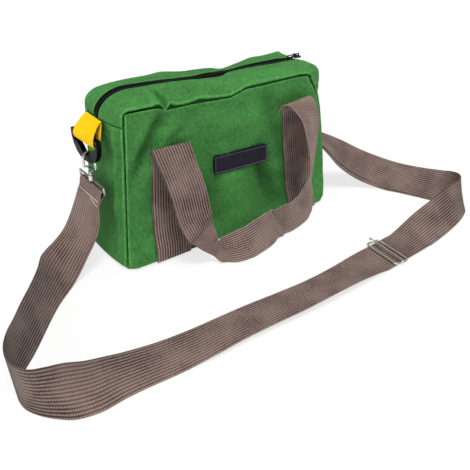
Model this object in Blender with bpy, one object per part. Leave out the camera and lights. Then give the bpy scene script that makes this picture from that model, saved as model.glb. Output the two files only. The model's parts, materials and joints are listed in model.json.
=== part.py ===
# Canvas tool bag with a zip top, two webbing grab handles and a clip-on webbing shoulder strap.
# Metres, +Z up. The origin is on the floor under the middle of the bag, +X runs along the zip,
# +Y points to the back, and the plate side is the front.

import math

import bmesh
import bpy
import numpy as np
from mathutils import Vector

# Driving sizes of the bag
bag_length = 0.305
bag_depth = 0.100
seam_height = 0.198
zip_rise = 0.008
joint_drop = 0.018
canvas = 0.002
fit_gap = 0.0003
cut_gap = 0.0008
left_end_length = 0.045
right_end_length = 0.026
left_shoulder_radius = 0.024
right_shoulder_radius = 0.012
edge_shoulder_radius = 0.008
board_thickness = 0.003
board_margin = 0.004
zip_height = seam_height + zip_rise
joint_height = seam_height - joint_drop

# How far each corner of the empty bag has slumped, in shares of the seam height
slump_shares = {
    (0, 0, 1): (0.040, -0.016, 0.006),
    (0, 0, 0): (-0.030, 0.011, 0.0),
    (1, 0, 1): (-0.082, 0.040, -0.021),
    (1, 0, 0): (0.045, -0.031, 0.0),
    (0, 1, 1): (0.032, -0.027, -0.028),
    (1, 1, 1): (0.024, -0.006, 0.030),
    (0, 1, 0): (-0.050, 0.033, 0.0),
    (1, 1, 0): (0.030, 0.030, 0.0),
}
firm_from_share, firm_to_share = 0.5, 0.9

# Zip
tape_width = 0.0085
tape_thickness = 0.0008
tape_lift = 0.0003
teeth_width = 0.0022
teeth_height = 0.0012
slider_length = 0.012
slider_wall = 0.0008
slider_margin = 0.0003
bridge_length = 0.009
bridge_width = 0.0022
bridge_height = 0.0032
puller_wire = 0.0008
puller_length = 0.016
puller_width = 0.0094
puller_lean = 0.05
slider_stop = 0.0075

# Webbing, its sewn strips and the handles
web_width = 0.050
web = 0.0016
strip_bottom = 0.003
left_strip_share = -0.3066
right_strip_share = 0.377
rear_strip_share = 0.328
handle_drop = 0.150
strip_below_fold = 0.0035
strip_top = handle_drop - strip_below_fold

# Plate on the front
plate_length = 0.088
plate_height = 0.025
plate_thickness = 0.0012
plate_place = 0.0145
plate_level = 0.1088
plate_slope = -0.020

# Tab, ring, hook and loop at each end
ring_yaw = 0.08
hardware_back = 0.004
tab_width = 0.046
back_layer_share = 0.9
ring_out = 0.014
ring_bar_drop = 0.020
ring_bar = 0.0026
ring_width = 0.060
ring_drop = 0.030
ring_thickness = 0.006
ring_foot = 0.007
hook_wire = 0.0018
jaw = 0.0054
hook_clearance = 0.0015
prong_drop = 0.0065
shank_drop = 0.0125
neck_drop = 0.0181
gate_wire = 0.0011
gate_drop = 0.0112
gate_inset = 0.0029
loop_wire = 0.0015
loop_width = 0.057
loop_top_drop = 0.0049
loop_drop = 0.0085
loop_lean = 0.085
boss_radius = 0.0034

# Heights of the hanging pieces: the bar below the joint seam, the ring's foot below its bar, the hook's
# and gate's places below that foot, and the strap loop below the hook's neck
ring_bar_level = joint_height - ring_bar_drop
ring_bottom_level = ring_bar_level - ring_drop
prong_level = ring_bottom_level - prong_drop
shank_level = ring_bottom_level - shank_drop
neck_level = ring_bottom_level - neck_drop
gate_level = ring_bottom_level - gate_drop
loop_top_level = neck_level - loop_top_drop
loop_bar_level = loop_top_level - loop_drop

# Shoulder strap and its adjuster
fold_tail = 0.014
fold_close_share = 0.6
adjuster_wire = 0.0015
adjuster_bar_wire = 0.0012
adjuster_length = 0.021
adjuster_corner = 0.004
adjuster_knob = 0.0018
knob_length = 0.003


def smooth(value, start, end):
    """0 before start, 1 after end and an even curve between."""
    share = min(max((value - start) / (end - start), 0), 1)
    return share * share * (3 - 2 * share)


def soft(point):
    """Move a point of the square-cornered bag to where the slumped canvas has it."""
    x, y, z = point
    share = (x / bag_length + 1 / 2, y / bag_depth + 1 / 2, z / seam_height)
    moved = np.zeros(3)
    for corner, slump in slump_shares.items():
        weight = 1
        for place, side in zip(share, corner):
            weight *= place if side else 1 - place
        moved += weight * np.array(slump) * seam_height
    middle = 1 - min(abs(2 * y / bag_depth), 1) ** 2
    held = middle * smooth(share[2], firm_from_share, firm_to_share)
    return np.array(point, float) + moved * (1 - held)


def paint(name, colour, roughness, metallic=0.0):
    """One Principled material."""
    material = bpy.data.materials.new(name)
    material.use_nodes = True
    shader = material.node_tree.nodes["Principled BSDF"]
    shader.inputs["Base Color"].default_value = (*colour, 1)
    shader.inputs["Roughness"].default_value = roughness
    shader.inputs["Metallic"].default_value = metallic
    return material


green = (0.06, 0.27, 0.06)
taupe = (0.25, 0.18, 0.17)
yellow = (0.95, 0.60, 0.01)
black = (0.012, 0.010, 0.016)
steel = (0.70, 0.70, 0.70)
greyboard = (0.35, 0.30, 0.24)


def place_mesh(name, points, faces, colour, roughness=0.8, metallic=0.0, origin=(0, 0, 0), round_angle=None):
    """A closed mesh as one named object with its origin where its joint is."""
    origin = Vector(origin)
    shape = bmesh.new()
    corners = [shape.verts.new(Vector(point) - origin) for point in points]
    for face in faces:
        shape.faces.new([corners[index] for index in face])
    bmesh.ops.recalc_face_normals(shape, faces=shape.faces)
    if shape.calc_volume(signed=True) < 0:
        bmesh.ops.reverse_faces(shape, faces=shape.faces)
    mesh = bpy.data.meshes.new(name)
    shape.to_mesh(mesh)
    shape.free()
    if round_angle:
        mesh.shade_smooth()
        mesh.set_sharp_from_angle(angle=round_angle)
    item = bpy.data.objects.new(name, mesh)
    item.location = origin
    item.data.materials.append(paint(name, colour, roughness, metallic))
    bpy.context.scene.collection.objects.link(item)
    return item


def sheet_solid(name, outer, inner, colour, **more):
    """A closed solid between two grids of points, rows by columns."""
    rows, columns = len(outer), len(outer[0])
    points = [point for grid in (outer, inner) for row in grid for point in row]
    under = rows * columns
    faces = []
    for row in range(rows - 1):
        for column in range(columns - 1):
            a = row * columns + column
            quad = (a, a + 1, a + columns + 1, a + columns)
            faces.append(quad)
            faces.append(tuple(under + index for index in reversed(quad)))
    rim = [column for column in range(columns)]
    rim += [row * columns + columns - 1 for row in range(1, rows)]
    rim += [(rows - 1) * columns + column for column in range(columns - 2, -1, -1)]
    rim += [row * columns for row in range(rows - 2, 0, -1)]
    for here, there in zip(rim, rim[1:] + rim[:1]):
        faces.append((there, here, under + here, under + there))
    return place_mesh(name, points, faces, colour, **more)


def steps(start, end, count):
    """Evenly spaced values with both ends."""
    return [start + (end - start) * index / (count - 1) for index in range(count)]


def slab(name, low, high, thin, colour, counts=(2, 2), shape=soft):
    """A flat box between two corners, thin along one axis and fine along the other two."""
    across = [axis for axis in range(3) if axis != thin]
    grids = []
    for level in (low[thin], high[thin]):
        grid = []
        for first in steps(low[across[0]], high[across[0]], counts[0]):
            row = []
            for second in steps(low[across[1]], high[across[1]], counts[1]):
                point = [0, 0, 0]
                point[thin] = level
                point[across[0]] = first
                point[across[1]] = second
                row.append(shape(point))
            grid.append(row)
        grids.append(grid)
    return sheet_solid(name, grids[0], grids[1], colour)


def curve_through(points, per_span):
    """Points on a smooth curve through the given ones (Catmull-Rom)."""
    points = [np.array(point, float) for point in points]
    ends = [2 * points[0] - points[1]] + points + [2 * points[-1] - points[-2]]
    line = []
    for index in range(1, len(ends) - 2):
        before, here, there, after = ends[index - 1:index + 3]
        for step in range(per_span):
            t = step / per_span
            line.append((2 * here + (there - before) * t + (2 * before - 5 * here + 4 * there - after) * t ** 2
                         + (3 * here - before - 3 * there + after) * t ** 3) / 2)
    line.append(points[-1])
    return line


def ribbon(name, edge_pairs, thicknesses, colour, origin=(0, 0, 0), per_span=3):
    """Webbing as a closed solid that runs between two edges, given as pairs of points."""
    pairs = curve_through([np.concatenate([first, second, [thickness]])
                           for (first, second), thickness in zip(edge_pairs, thicknesses)], per_span)
    firsts = [pair[:3] for pair in pairs]
    seconds = [pair[3:6] for pair in pairs]
    sides = ([], [])
    for index in range(len(pairs)):
        after, before = min(index + 1, len(pairs) - 1), max(index - 1, 0)
        run = (firsts[after] + seconds[after] - firsts[before] - seconds[before])
        normal = np.cross(run, seconds[index] - firsts[index])
        normal = normal / np.linalg.norm(normal) * pairs[index][6] / 2
        middle = (firsts[index] + seconds[index]) / 2
        for side, sign in zip(sides, (1, -1)):
            side.append([firsts[index] + sign * normal, middle + sign * normal, seconds[index] + sign * normal])
    return sheet_solid(name, sides[0], sides[1], colour, origin=origin, round_angle=math.pi / 5)


def tube(name, path, radius, colour, closed=False, sides=8, origin=(0, 0, 0), metallic=1.0, roughness=0.3):
    """Round wire along a path, with capped ends or closed on itself."""
    path = [np.array(point, float) for point in path]
    count = len(path)
    rings = []
    side = None
    for index in range(count):
        before = path[index - 1] if closed or index else path[0]
        after = path[(index + 1) % count] if closed or index < count - 1 else path[-1]
        run = (after - before) / np.linalg.norm(after - before)
        if side is None:
            helper = np.array((0, 0, 1)) if abs(run[2]) < 0.9 else np.array((1, 0, 0))
            side = np.cross(run, helper)
        side = side - run * (side @ run)
        side = side / np.linalg.norm(side)
        other = np.cross(run, side)
        turn = [2 * math.pi * step / sides for step in range(sides)]
        rings.append([path[index] + radius * (math.cos(t) * side + math.sin(t) * other) for t in turn])
    points = [point for ring in rings for point in ring]
    faces = []
    for ring in range(count if closed else count - 1):
        here, there = ring * sides, (ring + 1) % count * sides
        for step in range(sides):
            beside = (step + 1) % sides
            faces.append((here + step, here + beside, there + beside, there + step))
    if not closed:
        faces.append(tuple(reversed(range(sides))))
        faces.append(tuple((count - 1) * sides + step for step in range(sides)))
    return place_mesh(name, points, faces, colour, metallic=metallic, roughness=roughness, origin=origin,
                      round_angle=math.pi / 4)


def arc(centre, radius, start, end, count):
    """Points of a flat arc, as pairs, with angles in radians."""
    return [(centre[0] + radius * math.cos(a), centre[1] + radius * math.sin(a)) for a in steps(start, end, count)]


half_length = bag_length / 2
half_depth = bag_depth / 2
end_lengths = {-1: left_end_length, 1: right_end_length}
shoulder_radii = {-1: left_shoulder_radius, 1: right_shoulder_radius}
inner_depth = half_depth - canvas - fit_gap


# Canvas shell
def canvas_shell():
    """Front, rear, two ends and the base, each a thin panel inside the same slumped shape."""
    for name, near, far in (("front_panel", -half_depth, -half_depth + canvas),
                            ("rear_panel", half_depth - canvas, half_depth)):
        slab(name, (-half_length, near, 0), (half_length, far, seam_height), 1, green, (15, 10))
    for name, near, far in (("left_end_panel", -half_length, -half_length + canvas),
                            ("right_end_panel", half_length - canvas, half_length)):
        slab(name, (near, -inner_depth, 0), (far, inner_depth, joint_height - fit_gap), 0, green, (9, 9))
    reach = half_length - canvas - fit_gap
    slab("base_panel", (-reach, -inner_depth, 0), (reach, inner_depth, canvas), 2, green, (9, 5))
    reach -= board_margin
    depth = inner_depth - board_margin
    floor = canvas + fit_gap
    slab("base_board", (-reach, -depth, floor), (reach, depth, floor + board_thickness), 2, greyboard, (5, 3))


def top_level(y):
    """Height of the top panel, which rises from both seams to the zip."""
    return seam_height + (zip_height - seam_height) * (1 - (y / inner_depth) ** 2)


def flaps():
    """The long middle of the zip panel: two halves that fold up along the top seams."""
    for name, sign in (("front_top_flap", -1), ("rear_top_flap", 1)):
        grids = []
        for level in (0, -canvas):
            grid = []
            for x in steps(cut_place(-1) + cut_gap, cut_place(1) - cut_gap, 16):
                row = []
                for y in steps(sign * inner_depth, sign * tape_gap, 6):
                    row.append(soft((x, y, top_level(y) + level)))
                grid.append(row)
            grids.append(grid)
        sheet_solid(name, grids[0], grids[1], green, origin=seam_end(-1, sign))


tape_gap = fit_gap / 2


def cut_place(end):
    """Where the opening middle of the top meets the sewn end piece."""
    return end * (half_length - end_lengths[end])


def seam_end(end, side):
    """Where the top seam of one side meets the fixed end piece: an end of the flap's fold line."""
    return soft((cut_place(end), side * inner_depth, seam_height))


def shoulder(y, end, depth):
    """The fixed end of the top, from its cut edge over the rounded shoulder to the joint seam."""
    share = (y / inner_depth) ** 2
    radius = shoulder_radii[end] + (edge_shoulder_radius - shoulder_radii[end]) * share - depth
    level = top_level(y) - depth
    face = half_length - depth
    line = [(half_length - end_lengths[end], level)]
    line += arc((face - radius, level - radius), radius, math.pi / 2, 0, 7)
    line.append((face, joint_height))
    return [(end * x, y, z) for x, z in line]


def top_ends():
    """The sewn ends of the zip panel, turned down over the bag's ends."""
    for name, end in (("left_top_end", -1), ("right_top_end", 1)):
        grids = []
        for depth in (0, canvas):
            columns = [shoulder(y, end, depth) for y in steps(-inner_depth, inner_depth, 11)]
            grids.append([[soft(point) for point in column] for column in columns])
        sheet_solid(name, grids[0], grids[1], green)


# Zip
def tape_profile(side):
    """Half of the zip in section, as offsets along Y and Z: a flat tape with a raised edge of teeth."""
    inner = side * tape_gap
    teeth = side * (tape_gap + teeth_width)
    outer = side * (tape_gap + tape_width)
    top = tape_lift + tape_thickness
    return [(inner, tape_lift), (outer, tape_lift), (outer, top), (teeth, top),
            (teeth, top + teeth_height), (inner, top + teeth_height)]


def extrude_profile(name, profile, xs, colour, **more):
    """A profile in Y and Z, set on the zip's level and drawn along X."""
    points = [(x, y, zip_height + z) for x in xs for y, z in profile]
    return prism(name, points, len(profile), colour, **more)


def prism(name, points, count, colour, **more):
    """Two matching outlines, one after the other in the list, joined into a solid."""
    faces = [tuple(range(count)), tuple(reversed(range(count, 2 * count)))]
    for step in range(count):
        beside = (step + 1) % count
        faces.append((step, beside, count + beside, count + step))
    return place_mesh(name, points, faces, colour, **more)


def zip_line():
    """Moving tape halves, fixed ends, slider and puller."""
    ends = (cut_place(-1) + cut_gap, cut_place(1) - cut_gap)
    for name, side in (("front_zip_tape", -1), ("rear_zip_tape", 1)):
        extrude_profile(name, tape_profile(side), ends, black, roughness=0.5, origin=seam_end(-1, side))
    top = tape_lift + tape_thickness
    width = tape_gap + tape_width
    teeth = tape_gap + teeth_width
    fixed = [(-width, tape_lift), (width, tape_lift), (width, top), (teeth, top), (teeth, top + teeth_height),
             (-teeth, top + teeth_height), (-teeth, top), (-width, top)]
    for name, end in (("left_zip_end", -1), ("right_zip_end", 1)):
        line = shoulder(0, end, 0)
        rows = []
        for index, (x, _, z) in enumerate(line):
            before, after = line[max(index - 1, 0)], line[min(index + 1, len(line) - 1)]
            run = np.array((after[0] - before[0], after[2] - before[2]))
            run = run / np.linalg.norm(run)
            out = np.array((-run[1], run[0])) * end
            start = end * fit_gap if index == 0 else 0
            rows.append([(x + start + out[0] * lift, y, z + out[1] * lift) for y, lift in fixed])
        stack(name, rows, black)
    zip_slider()


def stack(name, rows, colour, **more):
    """Matching outlines one after another, joined into one solid with closed ends."""
    count = len(rows[0])
    points = [point for row in rows for point in row]
    faces = [tuple(range(count)), tuple(reversed(range((len(rows) - 1) * count, len(rows) * count)))]
    for row in range(len(rows) - 1):
        for step in range(count):
            beside = (step + 1) % count
            faces.append((row * count + step, row * count + beside,
                          (row + 1) * count + beside, (row + 1) * count + step))
    return place_mesh(name, points, faces, colour, **more)


slider_rest = half_length - slider_stop
slider_base = zip_height + tape_lift + tape_thickness + fit_gap
slider_top = slider_base + teeth_height + slider_margin + slider_wall


def zip_slider():
    """An upturned channel over the teeth, its bridge, and the wire loop that lies back along the zip."""
    inside = tape_gap + teeth_width + slider_margin
    outside = inside + slider_wall
    low = slider_base - zip_height
    high = slider_top - zip_height
    roof = high - slider_wall
    profile = [(-outside, low), (-inside, low), (-inside, roof), (inside, roof), (inside, low), (outside, low),
               (outside, high), (-outside, high)]
    ends = (slider_rest - slider_length / 2, slider_rest + slider_length / 2)
    body = extrude_profile("zip_slider", profile, ends, black, metallic=0.5, roughness=0.35,
                           origin=(slider_rest, 0, zip_height))
    half_bridge = bridge_length / 2
    foot = slider_wall / 2
    outline = [(-half_bridge, -foot), (-half_bridge, bridge_height), (half_bridge, bridge_height),
               (half_bridge, -foot), (half_bridge - slider_wall, -foot),
               (half_bridge - slider_wall, bridge_height - slider_wall),
               (-half_bridge + slider_wall, bridge_height - slider_wall), (-half_bridge + slider_wall, -foot)]
    points = [(slider_rest + x, y, slider_top + z) for y in (-bridge_width / 2, bridge_width / 2)
              for x, z in outline]
    bridge = prism("bridge", points, len(outline), black)
    join(body, bridge)
    pivot = puller_pivot()
    half = puller_width / 2
    far = puller_length - half
    path = [(0, y) for y in steps(-half + puller_wire * 2, half - puller_wire * 2, 3)]
    path += [(puller_wire * 2, half)]
    path += arc((far, 0), half, math.pi / 2, -math.pi / 2, 9)
    path += [(puller_wire * 2, -half)]
    points = [(pivot[0] - a * math.cos(puller_lean), b, pivot[2] - a * math.sin(puller_lean)) for a, b in path]
    tube("zip_puller", points, puller_wire, black, closed=True, sides=6, origin=pivot)


def puller_pivot():
    """The puller's wire lies under the bridge with an even gap."""
    return (slider_rest, 0, slider_top + puller_wire + fit_gap / 2)


def join(body, piece):
    """Unite a piece with the body that carries it."""
    union = body.modifiers.new("union", "BOOLEAN")
    union.operation = "UNION"
    union.solver = "EXACT"
    union.object = piece
    piece.hide_render = True
    piece.display_type = "WIRE"


# Webbing sewn to the canvas, the handles and the plate
def on_face(x, z, out, side=-1):
    """A point that lies a little out from the front or rear canvas."""
    return soft((x, side * (half_depth + out), z))


def face_slab(name, place, width, low, high, thickness, colour, side=-1, slope=0.0, counts=(4, 10)):
    """A flat piece that follows the front or rear canvas."""
    grids = []
    for out in (fit_gap, fit_gap + thickness):
        grid = []
        for x in steps(-width / 2, width / 2, counts[0]):
            row = [on_face(place + x, z + slope * x, out, side) for z in steps(low, high, counts[1])]
            grid.append(row)
        grids.append(grid)
    return sheet_solid(name, grids[0], grids[1], colour)


def strips_and_plate():
    """The sewn-down webbing under each handle, and the bare plate between the front pair."""
    for name, share, side in (("front_left_anchor", left_strip_share, -1),
                              ("front_right_anchor", right_strip_share, -1),
                              ("rear_left_anchor", -rear_strip_share, 1),
                              ("rear_right_anchor", rear_strip_share, 1)):
        face_slab(name, share * bag_length, web_width, strip_bottom, strip_top, web, taupe, side)
    low = plate_level - plate_height / 2
    face_slab("label_plate", plate_place, plate_length, low, low + plate_height, plate_thickness, black,
              slope=plate_slope, counts=(6, 3))


# The front handle's two edges: along the bag in shares of its length, out from the front canvas and up
# in shares of the handle's drop. It hangs from the left fold, stands on the floor and climbs to the right one.
front_handle_shares = [
    ((-0.387, 0.020, 0.985), (-0.225, 0.020, 0.985)),
    ((-0.387, 0.047, 1.008), (-0.225, 0.047, 1.008)),
    ((-0.384, 0.075, 0.970), (-0.222, 0.075, 0.970)),
    ((-0.367, 0.110, 0.833), (-0.206, 0.110, 0.820)),
    ((-0.346, 0.150, 0.650), (-0.186, 0.150, 0.655)),
    ((-0.328, 0.205, 0.395), (-0.172, 0.205, 0.395)),
    ((-0.300, 0.250, 0.250), (-0.166, 0.265, 0.270)),
    ((-0.258, 0.300, 0.140), (-0.166, 0.300, 0.300)),
    ((-0.190, 0.375, 0.030), (-0.135, 0.330, 0.300)),
    ((-0.130, 0.425, 0.010), (-0.095, 0.358, 0.305)),
    ((-0.060, 0.440, 0.010), (-0.055, 0.372, 0.313)),
    ((0.025, 0.425, 0.010), (0.022, 0.350, 0.325)),
    ((0.105, 0.375, 0.010), (0.100, 0.320, 0.325)),
    ((0.215, 0.325, 0.010), (0.172, 0.300, 0.315)),
    ((0.300, 0.290, 0.010), (0.225, 0.285, 0.300)),
    ((0.370, 0.250, 0.040), (0.272, 0.270, 0.345)),
    ((0.408, 0.190, 0.180), (0.305, 0.285, 0.435)),
    ((0.420, 0.130, 0.340), (0.322, 0.300, 0.560)),
    ((0.437, 0.105, 0.530), (0.322, 0.290, 0.710)),
    ((0.450, 0.095, 0.740), (0.313, 0.245, 0.875)),
    ((0.452, 0.090, 0.900), (0.295, 0.200, 1.000)),
    ((0.440, 0.075, 1.010), (0.278, 0.120, 1.050)),
    ((0.418, 0.055, 1.075), (0.262, 0.052, 1.035)),
    ((0.412, 0.020, 1.040), (0.252, 0.020, 0.990)),
]

# The rear handle hangs flat: one half of its middle line, mirrored, in the same shares, with the turn
# of its width from straight along the bag as a share of a quarter turn
rear_handle_shares = [
    (0.328, 0.020, 0.985, 0.0),
    (0.328, 0.047, 1.008, 0.0),
    (0.328, 0.070, 0.970, 0.0),
    (0.326, 0.080, 0.700, 0.0),
    (0.322, 0.085, 0.450, 0.06),
    (0.300, 0.090, 0.290, 0.30),
    (0.240, 0.095, 0.200, 0.72),
    (0.150, 0.098, 0.175, 0.96),
    (0.0, 0.100, 0.170, 1.0),
]

# The two ends of the line that each handle folds about, in the same shares
front_fold_shares = ((-0.306, 0.050, 1.013), (0.344, 0.073, 1.067))
rear_fold_shares = ((-0.328, 0.036, 1.000), (0.328, 0.043, 1.013))


def fold_line(shares, side):
    """The ends of a handle's fold line, on the front or rear."""
    return [np.array((x * bag_length, side * (half_depth + out * handle_drop), z * handle_drop))
            for x, out, z in shares]


def handles():
    """Both grab handles, each with its origin on the fold that it swings about."""
    pairs = []
    for edges in front_handle_shares:
        pairs.append([np.array((x * bag_length, -half_depth - out * handle_drop, z * handle_drop))
                      for x, out, z in edges])
    ribbon("front_handle", pairs, [web] * len(pairs), taupe, origin=sum(fold_line(front_fold_shares, -1)) / 2)
    half = [(x, out, z, turn) for x, out, z, turn in rear_handle_shares]
    whole = half + [(-x, out, z, -turn) for x, out, z, turn in reversed(half[:-1])]
    pairs = []
    for index, (x, out, z, turn) in enumerate(whole):
        angle = turn * math.pi / 2 if index < len(half) else math.pi + turn * math.pi / 2
        centre = np.array((x * bag_length, half_depth + out * handle_drop, z * handle_drop))
        across = np.array((math.cos(angle), 0, -math.sin(angle))) * web_width / 2
        pairs.append((centre + across, centre - across))
    ribbon("rear_handle", pairs, [web] * len(pairs), taupe, origin=sum(fold_line(rear_fold_shares, 1)) / 2)


# Hardware at each end. Its places are given out from the end canvas, across and up.
def end_point(end, out, across, up):
    """From hardware places to the bag's: turned a little about the tab, and mirrored on the right.
    The tab twists into that turn between its seam and the ring's bar, and the strap loop hangs lower in front."""
    twist = min(max((joint_height - up) / (joint_height - ring_bar_level), 0), 1)
    turn = ring_yaw * twist
    beyond = out - ring_out
    turned = ring_out + beyond * math.cos(turn) + across * math.sin(turn)
    back = across * math.cos(turn) - beyond * math.sin(turn)
    lean = loop_lean if up < neck_level else 0
    return np.array((end * (half_length + turned), hardware_back + back, up + across * lean))


ring_outer_shares = [
    (-0.500, 1.0), (0.500, 1.0), (0.500, 0.74), (0.455, 0.44), (0.360, 0.20), (0.230, 0.05), (0.080, 0.0),
    (-0.080, 0.0), (-0.230, 0.05), (-0.360, 0.20), (-0.455, 0.44), (-0.500, 0.74),
]
ring_inner_shares = [
    (-0.430, 1.0), (0.430, 1.0), (0.430, 0.68), (0.310, 0.58), (0.200, 0.37), (0.135, 0.14), (0.070, 0.0),
    (-0.070, 0.0), (-0.135, 0.14), (-0.200, 0.37), (-0.310, 0.58), (-0.430, 0.68),
]


def ring(name, end):
    """Moulded ring: a straight bar through the tab over two broad arms that close in a rounded foot."""
    half = ring_thickness / 2
    outer = (ring_bottom_level, ring_bar_level + ring_bar)
    inner = (ring_bottom_level + ring_foot, ring_bar_level - ring_bar)
    loops = []
    for shares, (low, high), out in ((ring_outer_shares, outer, half), (ring_inner_shares, inner, half),
                                     (ring_inner_shares, inner, -half), (ring_outer_shares, outer, -half)):
        loops.append([end_point(end, ring_out + out, across * ring_width, low + up * (high - low))
                      for across, up in shares])
    count = len(ring_outer_shares)
    points = [point for loop in loops for point in loop]
    faces = []
    for loop in range(4):
        following = (loop + 1) % 4
        for step in range(count):
            beside = (step + 1) % count
            faces.append((loop * count + step, loop * count + beside,
                          following * count + beside, following * count + step))
    place_mesh(name, points, faces, black, roughness=0.4, origin=end_point(end, ring_out, 0, ring_bar_level))


def tab(name, end):
    """Yellow webbing sewn into the joint seam and doubled round the ring's bar."""
    round_bar = math.hypot(ring_thickness / 2, ring_bar) + fit_gap
    outer = round_bar + web
    centre = (ring_out, ring_bar_level)
    seat = fit_gap + web
    top = joint_height
    outer_line = arc(centre, outer, math.pi / 6, -math.pi, 10)
    inner_line = arc(centre, round_bar, math.pi / 6, -math.pi, 10)
    lean_outer = [(seat + web + fit_gap, top), (ring_out + seat, (top + ring_bar_level) / 2)]
    lean_inner = [(seat + fit_gap / 2, top - web), (ring_out, (top + ring_bar_level) / 2)]
    back_outer = [(fit_gap + web * back_layer_share, (top + ring_bar_level) / 2), (fit_gap, top)]
    back_inner = [(seat + web * back_layer_share, (top + ring_bar_level) / 2 + web), (seat, top - web)]
    outline = lean_outer + outer_line + back_outer
    hollow = lean_inner + inner_line + back_inner
    half = tab_width / 2
    loops = []
    for line, across in ((outline, half), (hollow, half), (hollow, -half), (outline, -half)):
        loops.append([end_point(end, out, across, up) for out, up in line])
    count = len(outline)
    points = [point for loop in loops for point in loop]
    faces = []
    for loop in range(4):
        following = (loop + 1) % 4
        for step in range(count):
            beside = (step + 1) % count
            faces.append((loop * count + step, loop * count + beside,
                          following * count + beside, following * count + step))
    place_mesh(name, points, faces, yellow)


# The hook's foot: inward in shares of its bend's radius, down in shares of its wire's radius
hook_foot_shares = ((0.35, 1.4), (0.82, 0.6))


def hook(name, end):
    """Snap hook: neck, shank, the bend over the ring's foot, and the prong."""
    bend = jaw + hook_wire
    bend_level = ring_bottom_level + ring_foot + hook_clearance - jaw
    path = [(0, neck_level), (0, neck_level + hook_wire)]
    path += [(-bend * inward, shank_level - hook_wire * down) for inward, down in hook_foot_shares]
    path += [(-bend, shank_level + hook_wire), (-bend, (shank_level + bend_level) / 2)]
    path += arc((0, bend_level), bend, math.pi, 0, 11)
    path += [(bend, prong_level)]
    points = [end_point(end, ring_out + out, 0, up) for out, up in path]
    tube(name, points, hook_wire, steel, origin=end_point(end, ring_out, 0, loop_top_level))


def gate(name, end):
    """The sprung gate that closes the hook between its shank and its prong."""
    start = (-gate_inset, gate_level)
    finish = (jaw - fit_gap - gate_wire / 2, prong_level + gate_wire)
    middle = [(a + b) / 2 for a, b in zip(start, finish)]
    points = [end_point(end, ring_out + out, 0, up) for out, up in (start, middle, finish)]
    tube(name, points, gate_wire, steel, sides=6, origin=points[0])


def strap_loop(name, end):
    """Rectangular wire loop with a boss for the hook's neck; its lower bar lies in the strap's fold."""
    half = loop_width / 2
    corner = loop_wire
    outline = []
    for across, up, start in ((half, loop_top_level, 0), (-half, loop_top_level, math.pi / 2),
                              (-half, loop_bar_level, math.pi), (half, loop_bar_level, 3 * math.pi / 2)):
        side = 1 if across > 0 else -1
        lift = -1 if up > loop_bar_level else 1
        outline += arc((across - side * corner, up + lift * corner), corner, start, start + math.pi / 2, 3)
    points = [end_point(end, ring_out, across, up) for across, up in outline]
    pivot = end_point(end, ring_out, 0, loop_bar_level)
    body = tube(name, points, loop_wire, steel, closed=True, origin=pivot)
    low, high = loop_top_level - loop_wire, neck_level - fit_gap
    centre = end_point(end, ring_out, 0, 0)
    boss = tube("boss", [centre + (0, 0, low), centre + (0, 0, high)], boss_radius, steel, sides=12)
    join(body, boss)


def end_hardware():
    """Tab, ring, hook, gate and strap loop at both ends."""
    for side, end in (("left", -1), ("right", 1)):
        tab(side + "_tab", end)
        ring(side + "_ring", end)
        hook(side + "_hook", end)
        gate(side + "_gate", end)
        strap_loop(side + "_strap_loop", end)


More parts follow.
